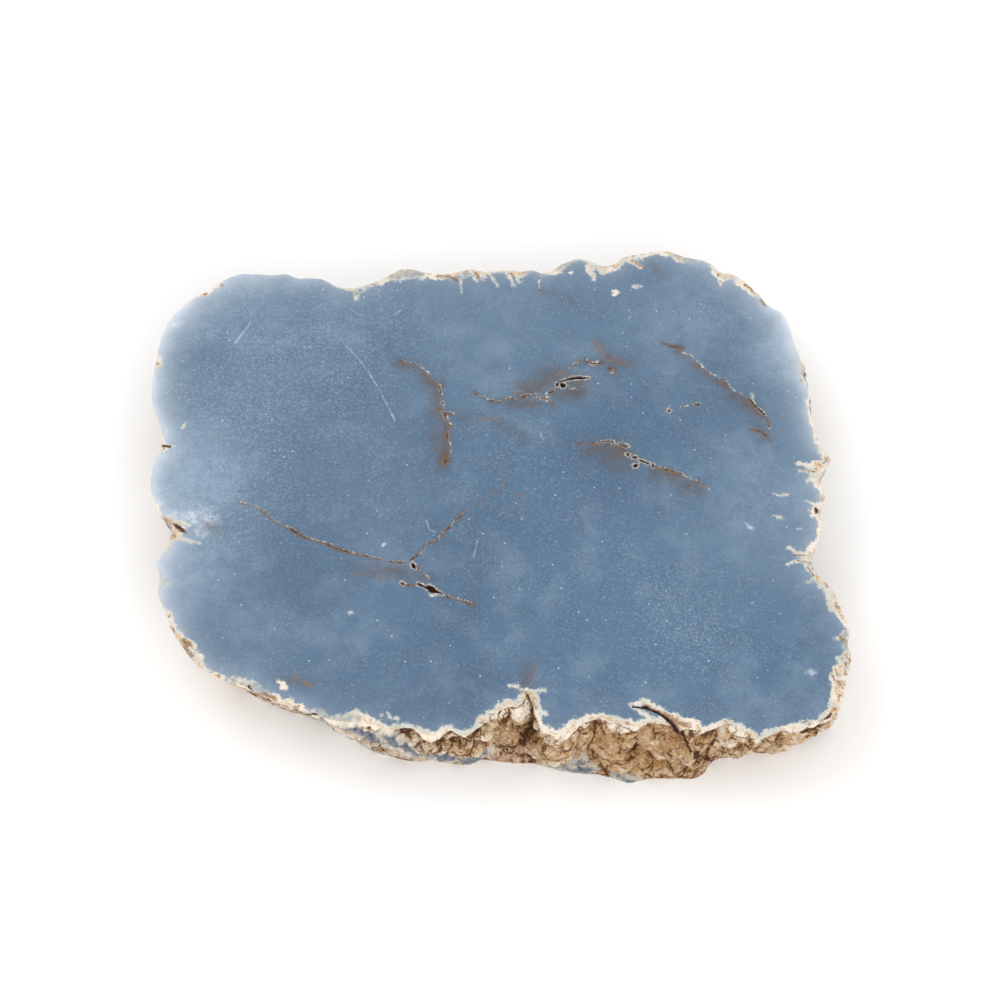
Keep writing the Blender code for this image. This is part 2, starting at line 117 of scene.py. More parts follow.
# The base's outline, clockwise from the left
BASE_OUTLINE = (
    (-70.8, 8.0), (-71.2, 18.0), (-72.9, 28.0), (-72.4, 38.0), (-69.4, 46.0), (-63.0, 52.3), (-55.0, 54.9),
    (-45.0, 54.6), (-34.0, 52.2), (-25.0, 54.8), (-15.0, 55.8), (0.0, 56.9), (12.0, 57.2), (20.0, 59.2),
    (32.0, 61.2), (41.0, 60.2), (50.0, 56.2), (57.5, 49.8), (62.0, 42.8), (64.6, 33.0), (66.0, 22.0),
    (68.0, 11.0), (67.4, 0.0), (65.8, -12.0), (68.4, -22.0), (70.9, -31.0), (71.4, -38.0), (69.8, -45.0),
    (66.9, -47.0), (63.8, -48.3), (60.2, -50.4), (55.6, -51.7), (51.3, -51.2), (48.9, -52.4), (44.9, -53.6),
    (42.7, -56.6), (39.6, -57.5), (35.5, -57.4), (31.9, -57.5), (27.8, -58.3), (23.7, -57.5), (20.1, -56.4),
    (13.9, -55.8), (8.8, -54.3), (2.6, -53.8), (-3.1, -53.2), (-7.7, -54.1), (-14.2, -53.4), (-18.5, -53.4),
    (-23.2, -52.3), (-26.8, -51.0), (-29.9, -48.9), (-33.0, -46.3), (-37.1, -44.2), (-42.2, -42.4),
    (-47.4, -40.8), (-54.1, -36.4), (-62.0, -31.4), (-66.8, -25.0), (-68.7, -16.0), (-68.4, -6.0),
)

# The rind's swell between face and base: (bearing in degrees from the right, mm, share of full relief)
RIND_SWELL = (
    (0.0, -0.8, 0.6), (12.0, -0.5, 0.6), (24.0, 0.4, 0.7), (32.0, 0.1, 0.7), (60.0, 0.1, 0.8),
    (120.0, 0.0, 0.8), (165.0, -0.9, 0.6), (200.0, -0.7, 0.5), (214.0, -0.2, 0.4), (226.0, -0.1, 0.4),
    (236.0, 0.6, 0.7), (246.0, 1.0, 1.0), (262.0, 1.2, 1.0), (285.0, 1.5, 1.0), (305.0, 1.0, 1.0),
    (318.0, 0.9, 1.0), (330.0, -0.5, 0.5), (345.0, -0.8, 0.5),
)

# How warm the rind's colour is along the front: (X, from 0 for grey white to 1 for deep tan)
RIND_WARMTH = (
    (-70.0, 0.4), (-55.0, 0.3), (-42.0, 0.12), (-28.0, 0.12), (-15.0, 0.35), (0.0, 0.55), (10.0, 0.5),
    (19.0, 0.8), (30.0, 0.85), (42.0, 0.75), (50.0, 0.55), (60.0, 0.6), (72.0, 0.4),
)

# How strongly light shines through the face's thin edge: (bearing in degrees from the right, strength)
EDGE_GLOW = (
    (0.0, 0.5), (20.0, 0.75), (36.0, 1.0), (44.0, 0.7), (60.0, 0.35), (90.0, 0.25), (125.0, 0.35),
    (140.0, 0.8), (150.0, 1.0), (165.0, 0.95), (180.0, 0.8), (195.0, 0.9), (210.0, 0.5), (225.0, 0.25),
    (270.0, 0.1), (315.0, 0.1), (335.0, 0.25), (350.0, 0.4),
)


class Tint(Enum):
    """What a mark on the polished face is made of."""

    CREAM = "cream"
    CLEAR = "clear"
    VEIL = "veil"
    RUST = "rust"
    DARK = "dark"
    SCRATCH = "scratch"


@dataclass(frozen=True)
class Mark:
    """One streak or spot: its material, half width, the width of its soft edge and its path."""

    tint: Tint
    half_width: float
    soft: float
    path: Path


@dataclass(frozen=True)
class Vein:
    """A healed crack in the face: its path, its cream filling, and the rusty halo on one side of it."""

    path: Path
    cream: float
    halo: float
    lean: tuple[float, float] = (0.0, 0.0)


@dataclass(frozen=True)
class Pit:
    """An open pit in the face: its depth, its outline, its white crystal lip's width, and how dark it is."""

    depth: float
    outline: Path
    lip: float = 0.15
    dark: float = 1.0


@dataclass(frozen=True)
class Fissure:
    """A narrow open crack in the face: its depth, its (X, Y, half width) points, its lip, how dark it is."""

    depth: float
    centre: tuple[tuple[float, float, float], ...]
    lip: float = 0.13
    dark: float = 1.0


@dataclass(frozen=True)
class Shadow:
    """Rust and clay below the polish: half width, the width of its soft edge and its path."""

    half_width: float
    soft: float
    path: Path


@dataclass(frozen=True)
class BareStone:
    """Weathered blue stone that shows through the rind: half width and (X, depth) points."""

    half_width: float
    path: Path


@dataclass(frozen=True)
class Patch:
    """A broad soft-edged area of the polished face: its middle, radius and strength."""

    x: float
    y: float
    radius: float
    strength: float


@dataclass(frozen=True)
class Cleft:
    """A groove in the front wall: half width, how deep it cuts, how dark it is, and (X, depth) points."""

    half_width: float
    cut: float
    dark: float
    path: Path


@dataclass(frozen=True)
class Boss:
    """A round lump grown on the front wall: its middle in plan, its depth, its radius and how rusty it is."""

    x: float
    y: float
    depth: float
    radius: float
    rust: float


def marks_of(tint: Tint, *rows: tuple[float, float, Path]) -> tuple[Mark, ...]:
    """Makes marks of one tint from rows of half width, soft edge and path."""
    return tuple(Mark(tint, *row) for row in rows)


RIND_FINGERS = marks_of(
    Tint.CREAM,
    (0.8, 0.3, ((-32.1, 54.8), (-32.0, 51.6))), (0.3, 0.3, ((-22.6, 58.5), (-22.4, 56.2))),
    (0.25, 0.3, ((-8.7, 57.5), (-8.7, 53.4))), (0.5, 0.3, ((-6.8, 59.0), (-5.0, 56.5))),
    (0.4, 0.3, ((-6.0, 58.5), (-3.6, 56.8))), (0.4, 0.3, ((-2.6, 59.0), (-0.5, 55.2))),
    (0.45, 0.3, ((1.2, 59.0), (2.6, 57.0), (3.2, 55.1))), (1.1, 0.3, ((4.3, 56.9), (4.3, 56.4))),
    (0.2, 0.3, ((8.7, 54.8), (8.8, 56.6))), (0.9, 0.3, ((12.3, 60.0), (12.8, 58.9))),
    (0.4, 0.3, ((16.0, 58.5), (16.0, 58.7))), (1.0, 0.3, ((21.2, 57.0), (20.2, 59.6))),
    (1.2, 0.3, ((24.6, 61.0), (24.8, 58.8))), (0.8, 0.3, ((25.8, 53.3), (25.5, 52.9))),
    (0.45, 0.3, ((30.0, 55.0), (31.6, 55.2))), (0.8, 0.4, ((28.8, 62.6), (31.6, 60.2))),
    (0.8, 0.3, ((49.3, 58.6), (49.2, 55.6))), (0.4, 0.3, ((53.0, 56.0), (53.0, 55.4))),
    (0.9, 0.3, ((70.5, 9.0), (67.0, 8.6), (64.6, 9.2))),
    (0.6, 0.3, ((69.5, 7.0), (66.0, 7.4), (64.6, 7.2))),
    (0.5, 0.3, ((69.0, 5.5), (66.3, 5.0), (66.3, 4.2))), (0.4, 0.3, ((68.5, -1.5), (65.8, -0.2))),
    (0.45, 0.3, ((68.5, -3.0), (66.5, -2.5))), (0.6, 0.3, ((66.5, -14.0), (63.0, -12.8), (61.5, -11.7))),
    (0.6, 0.3, ((66.0, -14.8), (62.8, -15.0), (61.1, -15.8))), (0.5, 0.3, ((66.2, -14.2), (63.4, -13.9))),
    (0.5, 0.3, ((67.5, -18.5), (65.0, -20.2))), (0.26, 0.3, ((58.8, 1.6), (60.4, 1.0), (62.0, 1.4))),
    (0.34, 0.3, ((58.4, -3.9), (60.5, -4.4))), (0.16, 0.3, ((63.6, -7.1), (64.6, -7.2))),
    (0.5, 0.3, ((72.0, -33.2), (70.2, -33.6))),
    (1.2, 0.3, ((30.2, -48.6), (33.0, -50.2), (36.4, -52.4), (40.5, -54.0))),
    (0.9, 0.3, ((27.6, -48.8), (30.0, -48.6))),
    (0.55, 0.3, ((26.9, -49.1), (28.8, -50.5), (31.0, -51.9))),
    (1.4, 0.3, ((33.0, -52.6), (36.0, -54.0))),
    (0.55, 0.3, ((5.3, -47.0), (4.4, -45.6), (3.6, -44.6), (1.9, -44.7))),
    (0.7, 0.3, ((5.8, -46.6), (7.6, -45.8), (9.3, -45.7))), (0.9, 0.3, ((6.6, -47.6), (8.0, -48.3))),
    (0.8, 0.3, ((7.2, -49.6), (8.6, -50.6), (9.7, -51.2))), (0.9, 0.4, ((-30.5, -51.5), (-29.8, -50.4))),
    (0.35, 0.3, ((-23.4, -50.8), (-22.8, -52.2), (-21.2, -52.2))),
    (0.3, 0.3, ((-24.5, -51.4), (-24.4, -51.2))),
    (0.75, 0.3, ((-46.3, -43.6), (-45.2, -44.2), (-45.0, -45.1))),
    (0.4, 0.4, ((-31.8, -27.2), (-31.5, -27.4))), (0.4, 0.3, ((-68.5, 19.5), (-69.1, 18.4))),
    (0.4, 0.3, ((-73.5, 13.5), (-70.6, 13.4))), (0.4, 0.3, ((-72.0, -20.3), (-69.9, -20.5))),
    (0.5, 0.3, ((-75.0, 34.9), (-74.6, 34.5))), (0.7, 0.6, ((-71.5, -5.2), (-69.0, -5.3), (-66.3, -6.2))),
    (0.6, 0.5, ((-69.0, -9.2), (-66.0, -10.2), (-64.2, -10.5))),
) + marks_of(
    Tint.VEIL,
    (0.3, 0.5, ((52.4, -5.8), (53.8, -7.0))), (0.7, 0.6, ((64.2, -41.5), (65.2, -41.4))),
    (1.9, 1.8, ((-69.5, -5.6), (-66.0, -4.2), (-62.6, -4.4), (-64.0, -7.6))),
    (1.0, 1.0, ((-73.6, 44.6), (-71.0, 45.6))), (0.7, 0.8, ((-74.2, -0.4), (-72.8, -0.9))),
) + marks_of(
    Tint.CLEAR,
    (1.2, 0.6, ((-24.4, 57.2), (-21.5, 58.6), (-18.5, 58.4))), (0.9, 0.6, ((-10.4, 57.4), (-7.4, 58.2))),
    (0.8, 0.5, ((-2.6, 57.8), (0.8, 58.6))), (0.8, 0.5, ((6.6, 58.6), (10.8, 58.0))),
    (0.9, 0.6, ((14.0, 60.4), (17.5, 61.8))), (0.8, 0.5, ((38.5, 63.6), (45.0, 61.8))),
    (1.3, 0.8, ((-38.8, -50.6), (-34.0, -51.8), (-29.6, -52.4))),
    (0.8, 0.6, ((-56.5, -43.2), (-51.8, -45.0), (-47.0, -47.0))), (0.7, 0.5, ((67.4, 2.6), (68.6, 0.4))),
    (0.7, 0.5, ((72.6, -31.4), (72.4, -35.4))),
)

RUSTY_SPOTS = marks_of(
    Tint.DARK,
    (0.35, 0.3, ((-69.5, -6.2), (-68.6, -7.0), (-67.3, -8.0))),
    (0.12, 0.3, ((-66.5, -34.0), (-65.8, -34.5))), (0.3, 0.3, ((-52.3, -44.9), (-52.0, -45.5))),
    (0.35, 0.4, ((-39.0, -51.5), (-38.2, -51.2))), (0.3, 0.3, ((67.5, -52.3), (68.1, -52.0))),
    (0.25, 0.3, ((68.1, -51.8), (68.6, -51.1))), (0.4, 0.3, ((67.8, -2.4), (68.0, -2.9))),
    (0.25, 0.3, ((54.7, 55.7), (54.9, 55.4))), (0.2, 0.25, ((-73.4, 13.6), (-71.6, 13.4))),
    (0.35, 0.3, ((5.6, -46.9), (5.9, -47.8), (5.8, -48.6))), (0.15, 0.3, ((27.7, -49.6), (29.8, -49.8))),
) + marks_of(
    Tint.RUST,
    (0.3, 0.4, ((-69.7, -8.6), (-69.5, -9.2))), (0.5, 0.8, ((-72.3, -4.5), (-70.4, -5.9))),
    (0.5, 0.5, ((-66.9, -33.8), (-65.9, -34.3), (-65.2, -35.0))),
    (0.6, 0.7, ((-66.3, -35.6), (-64.4, -37.6))), (0.3, 0.3, ((-68.7, -31.4), (-68.4, -32.0))),
    (0.35, 0.4, ((-58.8, -42.3), (-58.6, -42.5))), (0.4, 0.4, ((-49.3, -46.4), (-46.6, -48.0))),
    (0.4, 0.5, ((-42.9, -49.6), (-42.2, -50.0))), (0.25, 0.3, ((69.2, -50.2), (69.5, -49.8))),
    (0.2, 0.3, ((70.2, -48.2), (70.4, -47.0))),
    (0.25, 0.3, ((69.3, -42.0), (69.8, -43.2), (70.4, -43.7), (71.2, -43.5))),
    (0.22, 0.3, ((70.4, -44.0), (71.2, -45.2))), (0.25, 0.3, ((72.3, -39.3), (72.0, -41.8))),
    (0.2, 0.3, ((70.6, -25.6), (71.6, -26.7))), (0.5, 0.6, ((71.6, -33.2), (72.2, -34.0))),
    (0.2, 0.2, ((65.3, 7.5), (68.0, 7.1))), (0.16, 0.2, ((71.5, 10.0), (69.0, 8.7))),
    (0.22, 0.3, ((67.4, -7.7), (67.6, -8.0))), (0.16, 0.2, ((62.5, -13.5), (66.0, -13.7))),
    (0.16, 0.2, ((63.0, -14.8), (65.8, -15.3))),
    (0.18, 0.2, ((65.5, -16.5), (66.5, -18.5), (65.3, -19.5))), (0.2, 0.3, ((66.2, 30.4), (66.2, 30.0))),
    (0.3, 0.3, ((-32.1, 53.6), (-32.1, 53.0))), (0.25, 0.3, ((-28.4, 55.7), (-28.0, 55.7))),
    (0.42, 0.5, ((-13.9, 57.9), (-11.2, 57.8), (-9.8, 56.8))), (0.36, 0.5, ((-6.0, 59.3), (-4.8, 57.6))),
    (0.26, 0.4, ((2.4, 58.6), (3.4, 57.4))), (0.26, 0.4, ((29.8, 62.4), (31.2, 60.8), (32.2, 60.2))),
    (0.25, 0.3, ((-2.9, 58.3), (-2.7, 58.0))), (0.2, 0.3, ((8.7, 54.7), (8.7, 54.5))),
    (0.3, 0.3, ((48.8, 58.4), (48.9, 58.0))), (0.2, 0.3, ((49.3, 56.6), (49.3, 56.3))),
    (0.42, 0.5, ((55.6, 55.0), (56.9, 53.4))), (0.32, 0.4, ((58.0, 51.5), (59.0, 50.2))),
    (0.25, 0.3, ((-75.5, 34.7), (-75.3, 34.6))), (0.3, 0.3, ((-62.5, 55.6), (-62.0, 55.4))),
    (0.3, 0.3, ((-66.2, 53.2), (-65.8, 53.1))), (0.4, 0.8, ((5.4, -46.4), (6.4, -48.0), (7.3, -49.7))),
    (0.25, 0.5, ((3.8, -44.8), (4.6, -46.2))),
    (0.5, 0.7, ((29.8, -49.2), (31.6, -50.2), (33.6, -51.0), (36.5, -52.9), (39.0, -54.0))),
    (0.2, 0.8, ((29.4, 62.0), (31.4, 60.6))), (0.25, 0.5, ((36.4, 58.2), (36.7, 57.6))),
)

VEINS = (
    Vein(((-21.3, 35.2), (-19.3, 34.7), (-17.2, 33.6), (-15.8, 31.8), (-14.4, 30.3), (-13.2, 28.9),
          (-13.0, 26.5), (-12.8, 25.0), (-12.6, 23.2), (-11.9, 21.2), (-11.3, 19.3), (-10.8, 18.6),
          (-11.4, 16.5), (-11.6, 14.8), (-10.7, 13.3), (-11.0, 11.3), (-12.0, 9.2)), 0.2, 1.4, (-0.7, -0.3)),
    Vein(((-12.0, 21.9), (-10.9, 21.8), (-9.8, 21.5)), 0.2, 0.7),
    Vein(((-5.4, 26.9), (-3.8, 26.1), (-2.3, 25.2), (0.0, 25.0), (1.5, 25.7), (2.9, 25.7)), 0.18, 0.7),
    Vein(((2.9, 27.0), (4.3, 27.4)), 0.18, 0.4),
    Vein(((4.8, 26.1), (6.2, 26.6), (8.0, 26.6), (9.2, 26.0)), 0.16, 1.1),
    Vein(((7.2, 25.2), (8.4, 25.6), (9.7, 25.9), (10.7, 25.2), (11.7, 24.1)), 0.26, 0.8),
    Vein(((9.9, 26.2), (10.2, 27.0), (11.0, 27.2), (12.4, 27.8)), 0.22, 0.8),
    Vein(((14.4, 32.4), (15.3, 33.8), (16.5, 34.6), (17.2, 35.2)), 0.22, 0.7),
    Vein(((18.9, 35.4), (20.2, 34.9), (21.4, 34.7), (22.6, 34.9)), 0.3, 0.8),
    Vein(((24.2, 33.4), (24.8, 32.8), (24.7, 32.3)), 0.22, 1.0),
    Vein(((15.0, 28.1), (16.7, 27.9)), 0.12, 0.3),
    Vein(((36.0, 40.1), (38.0, 39.2), (39.9, 38.7)), 0.0, 0.7),
    Vein(((39.3, 38.5), (40.3, 37.2), (41.7, 36.8), (42.6, 36.0), (43.5, 34.8), (44.3, 33.8), (46.0, 32.3),
          (47.5, 31.2), (49.0, 30.4), (50.0, 29.2), (50.8, 28.0), (52.5, 26.9), (54.0, 26.0), (55.0, 25.0),
          (55.8, 23.8), (56.8, 22.6), (57.9, 21.3)), 0.2, 0.8, (-0.5, -0.5)),
    Vein(((57.9, 21.2), (58.5, 19.8), (58.7, 18.4)), 0.0, 0.5),
    Vein(((54.5, 17.9), (56.8, 17.2), (58.1, 16.0), (59.0, 15.1)), 0.0, 0.6, (-0.2, -0.3)),
    Vein(((39.6, 23.3), (42.0, 24.0), (43.5, 24.2)), 0.16, 0.0),
    Vein(((17.3, 14.4), (18.6, 14.3), (21.0, 14.2)), 0.0, 0.6),
    Vein(((21.2, 14.4), (22.9, 14.8), (24.6, 14.5), (24.9, 13.6), (26.2, 13.1), (27.0, 12.4)), 0.24, 1.5,
         (-0.6, -0.8)),
    Vein(((33.7, 8.3), (35.5, 7.7), (37.5, 7.1), (38.8, 6.7), (40.0, 5.8), (41.3, 5.0), (42.8, 4.5)),
         0.16, 0.9, (-0.3, -0.5)),
    Vein(((-56.0, -0.6), (-53.0, -1.5), (-51.0, -2.6), (-49.0, -4.6), (-46.8, -6.3), (-44.5, -7.3),
          (-41.8, -9.2), (-39.5, -10.0), (-37.2, -10.7), (-35.0, -11.9), (-32.0, -13.0), (-29.0, -13.7),
          (-25.5, -14.6), (-22.0, -15.3), (-20.2, -15.4)), 0.1, 0.5),
    Vein(((-20.4, -15.4), (-19.4, -15.0), (-18.5, -14.3), (-17.2, -13.2), (-15.8, -11.1), (-13.5, -9.8),
          (-12.0, -8.0), (-10.5, -6.2), (-9.5, -5.0), (-8.4, -3.8), (-7.6, -3.1)), 0.16, 0.4),
    Vein(((-17.7, -16.6), (-17.0, -17.6), (-16.0, -18.3), (-15.2, -19.3)), 0.12, 0.6),
    Vein(((-19.9, -20.8), (-18.2, -20.9)), 0.0, 0.5),
    Vein(((-11.4, -23.5), (-10.0, -24.0), (-8.6, -24.3), (-7.2, -24.8), (-6.0, -25.5)), 0.2, 0.6),
)

FACE_STAINS = marks_of(
    Tint.RUST,
    (0.3, 1.3, ((21.0, 40.6), (22.0, 38.8), (22.8, 37.0), (24.6, 35.8))),
    (0.1, 1.6, ((22.8, 37.0), (26.4, 35.4), (28.2, 34.6))), (0.2, 1.2, ((12.2, 31.8), (14.4, 32.6))),
    (0.2, 1.2, ((43.2, 4.4), (44.2, 2.9))), (0.1, 1.2, ((-27.3, -15.8), (-27.2, -16.8))),
    (0.1, 1.3, ((-31.1, -18.3), (-29.4, -18.2))), (0.1, 1.3, ((-26.9, -18.2), (-25.0, -18.9))),
    (0.1, 1.0, ((-23.6, -19.1), (-21.4, -19.6))), (0.1, 1.0, ((-18.6, -37.6), (-18.2, -37.5))),
    (0.1, 1.5, ((-43.2, -42.6), (-40.0, -44.3))), (0.3, 1.0, ((-39.8, -44.4), (-39.2, -44.8))),
    (0.15, 1.4, ((7.4, -39.8), (6.8, -42.6))), (0.15, 0.7, ((-27.2, -47.3), (-27.0, -47.7))),
    (0.1, 1.0, ((-62.0, 15.8), (-61.8, 16.3))), (0.1, 1.0, ((-3.6, 20.4), (-2.0, 20.3))),
    (0.15, 0.9, ((3.6, 1.2), (4.4, 1.1))), (0.2, 0.9, ((-1.6, 1.6), (0.2, 2.2))),
    (0.1, 0.6, ((0.2, 2.2), (0.9, 4.2), (1.7, 6.0))),
    (0.1, 0.6, ((-8.0, -3.4), (-6.2, -1.8), (-3.0, 0.6))),
) + marks_of(
    Tint.CREAM,
    (0.28, 0.2, ((55.2, 26.9), (55.4, 25.7))), (0.18, 0.2, ((58.6, 18.5), (58.7, 18.2))),
    (0.16, 0.2, ((45.0, 2.8), (45.1, 2.8))), (0.16, 0.2, ((24.6, 32.4), (24.8, 32.2))),
    (0.24, 0.2, ((-14.9, -23.0), (-14.2, -23.3), (-13.4, -23.1))),
    (0.16, 0.2, ((-24.9, -11.2), (-24.7, -10.7))),
)

# Broad shadows along the veins and the rusty rim: they dull and brown the blue without hiding it
CLOUDED_PLACES = (
    Shadow(2.6, 3.4, ((7.0, 28.0), (11.5, 31.0))),
    Shadow(1.2, 2.2, ((2.0, 24.4), (8.0, 24.6))),
    Shadow(1.8, 2.2, ((13.0, 27.2), (17.0, 27.4))),
    Shadow(1.4, 2.0, ((13.4, 30.0), (18.0, 30.4))),
    Shadow(0.8, 2.6, ((24.0, 35.2), (28.5, 35.0))),
    Shadow(0.4, 2.4, ((22.0, 39.5), (25.0, 35.5))),
    Shadow(1.8, 2.6, ((20.0, 12.8), (25.5, 11.5), (27.5, 9.8))),
    Shadow(1.0, 1.6, ((24.0, 8.8), (28.2, 8.5))),
    Shadow(1.0, 2.2, ((34.0, 6.5), (43.0, 2.6))),
    Shadow(0.8, 2.6, ((-25.5, -16.2), (-20.0, -17.6), (-16.0, -19.0))),
    Shadow(0.4, 2.4, ((-32.0, -16.4), (-27.0, -17.4))),
    Shadow(0.6, 2.8, ((-13.6, 13.0), (-14.0, 19.0), (-14.5, 27.5), (-16.5, 31.5))),
    Shadow(0.1, 2.6, ((-10.0, 21.0), (-2.0, 20.5), (6.0, 15.5))),
    Shadow(1.2, 2.2, ((51.0, 26.4), (55.0, 23.4))),
    Shadow(1.0, 2.4, ((56.0, 20.0), (57.5, 16.0))),
    Shadow(0.5, 2.4, ((5.6, -40.0), (5.4, -44.0))),
    Shadow(0.2, 2.0, ((34.0, 61.4), (36.5, 57.8))),
    Shadow(-0.5, 2.8, ((8.0, 54.4), (12.5, 53.0), (17.0, 50.5))),
    Shadow(0.2, 2.4, ((-46.0, -43.4), (-40.0, -44.4))),
    Shadow(0.2, 2.4, ((-63.0, -6.4), (-60.0, -7.0))),
)

PITS = (
    Pit(1.0, ((13.1, 29.2), (13.4, 29.8), (14.3, 29.6), (14.5, 29.0), (14.0, 28.4), (13.4, 28.5))),
    Pit(0.8, ((12.2, 28.8), (12.3, 29.7), (12.8, 29.9), (12.9, 29.1), (12.6, 28.7))),
    Pit(0.8, ((25.6, 14.1), (26.5, 14.4), (27.4, 14.1), (28.2, 13.4), (27.3, 13.1), (26.3, 13.4)), 0.1, 0.6),
    Pit(0.8, ((27.2, 11.4), (27.7, 11.9), (28.2, 11.5), (27.8, 10.9))),
    Pit(0.7, ((28.5, 10.8), (29.2, 11.1), (29.8, 10.8), (29.4, 10.3), (28.8, 10.4))),
    Pit(0.7, ((28.6, 8.6), (29.2, 9.1), (30.0, 8.9), (29.7, 8.2), (29.0, 8.1))),
    Pit(0.8, ((36.6, 22.6), (36.8, 22.9), (37.2, 22.9), (37.3, 22.5), (37.0, 22.2), (36.7, 22.3))),
    Pit(1.1, ((-19.0, -15.6), (-18.6, -15.2), (-18.0, -15.9), (-17.8, -16.8), (-18.4, -16.8),
              (-18.8, -16.3))),
    Pit(1.6, ((-17.7, -20.6), (-17.3, -20.2), (-16.5, -20.5), (-15.8, -21.0), (-14.9, -20.7), (-14.0, -21.2),
              (-13.5, -21.9), (-12.6, -22.4), (-11.9, -23.2), (-13.2, -22.7), (-14.7, -22.7), (-15.3, -21.9),
              (-16.3, -21.2), (-17.2, -21.0)), 0.11),
    Pit(0.8, ((-12.8, 24.5), (-12.5, 24.8), (-12.2, 24.5), (-12.5, 24.2))),
)

FISSURES = (
    Fissure(2.2, ((13.0, 30.0, 0.12), (14.4, 30.5, 0.24), (15.9, 30.9, 0.36), (17.4, 31.1, 0.42),
                  (18.5, 31.0, 0.3), (19.6, 31.1, 0.12))),
    Fissure(0.8, ((20.1, 34.7, 0.14), (21.1, 34.8, 0.16))),
    Fissure(1.4, ((56.4, 23.0, 0.1), (57.0, 22.5, 0.22), (57.8, 21.6, 0.12)), 0.05),
    Fissure(1.2, ((30.1, 10.1, 0.2), (31.0, 9.7, 0.26), (32.2, 9.1, 0.2))),
    Fissure(1.2, ((33.1, 9.0, 0.22), (33.2, 8.3, 0.22))),
    Fissure(1.0, ((22.2, 14.6, 0.08), (23.6, 14.9, 0.14), (24.6, 14.3, 0.12)), 0.09),
    Fissure(1.2, ((-21.0, -20.2, 0.2), (-20.3, -20.6, 0.24))),
    Fissure(0.9, ((-12.9, 22.3, 0.06), (-12.3, 21.6, 0.1), (-11.8, 20.6, 0.06)), 0.06),
    Fissure(0.9, ((8.8, 25.6, 0.08), (9.7, 25.8, 0.14), (10.6, 25.2, 0.08)), 0.08),
)

# The open crack that runs from a point in the face out through the front rim
CRACK = Fissure(6.5, (
    (27.4, -49.6, 0.1), (29.2, -49.7, 0.2), (30.3, -49.6, 0.42), (31.2, -50.2, 0.24), (32.6, -50.8, 0.3),
    (33.7, -51.5, 0.32), (34.8, -52.5, 0.45), (35.9, -53.7, 0.55), (37.4, -55.8, 0.6), (38.4, -57.4, 0.6),
), 0.0)

# Painted sheen, a pale wash where the polish reflects the lights, mixed with milky cloudiness under the
# polish; and places rubbed rough with fine white specks
MILKY_AND_SHEEN_PLACES = (
    Patch(-68.0, 6.0, 15.0, 0.62), Patch(-64.0, -18.0, 9.0, 0.5), Patch(-50.0, 42.0, 20.0, 0.12),
    Patch(-6.0, 48.0, 22.0, 0.16), Patch(45.0, 48.0, 20.0, 0.24), Patch(58.0, -3.0, 17.0, 0.3),
    Patch(-30.0, 7.0, 16.0, 0.16), Patch(-52.0, -34.0, 12.0, 0.08), Patch(-58.0, 55.0, 9.0, 0.4),
    Patch(64.0, 38.0, 8.0, 0.75), Patch(-26.0, -11.0, 6.0, 0.2), Patch(-70.0, 46.0, 6.0, 0.4),
)
FROSTY_PLACES = (
    Patch(-50.0, 38.0, 20.0, 1.0), Patch(-62.0, 18.0, 15.0, 0.7), Patch(-60.0, -2.0, 13.0, 0.85),
    Patch(-28.0, 48.0, 13.0, 0.7), Patch(39.0, -32.0, 11.0, 1.0), Patch(28.0, -18.0, 10.0, 0.4),
    Patch(-69.0, 42.5, 4.0, 1.0), Patch(45.0, 50.0, 9.0, 0.5), Patch(0.0, 16.0, 11.0, 0.5),
    Patch(-35.0, 25.0, 14.0, 0.35), Patch(57.0, 2.0, 9.0, 0.5), Patch(8.0, -6.0, 12.0, 0.3),
)
SCRATCHES = marks_of(
    Tint.SCRATCH,
    (0.1, 0.1, ((-34.2, 39.5), (-31.8, 36.8), (-29.0, 32.7), (-26.0, 27.0), (-23.0, 20.2))),
    (0.2, 0.2, ((-58.5, 40.2), (-57.2, 42.4), (-56.2, 44.0))), (0.1, 0.1, ((-56.0, 44.2), (-55.3, 46.2))),
    (0.1, 0.1, ((-15.7, -5.0), (-15.2, -7.3), (-13.8, -8.0))), (0.1, 0.1, ((-4.8, -10.0), (-5.6, -14.0))),
    (0.1, 0.1, ((-23.4, 47.6), (-21.6, 49.4))), (0.12, 0.1, ((8.6, 17.2), (9.4, 15.2))),
    (0.16, 0.15, ((30.1, -43.9), (30.4, -43.8))), (0.16, 0.15, ((53.1, -25.1), (53.3, -25.0))),
)

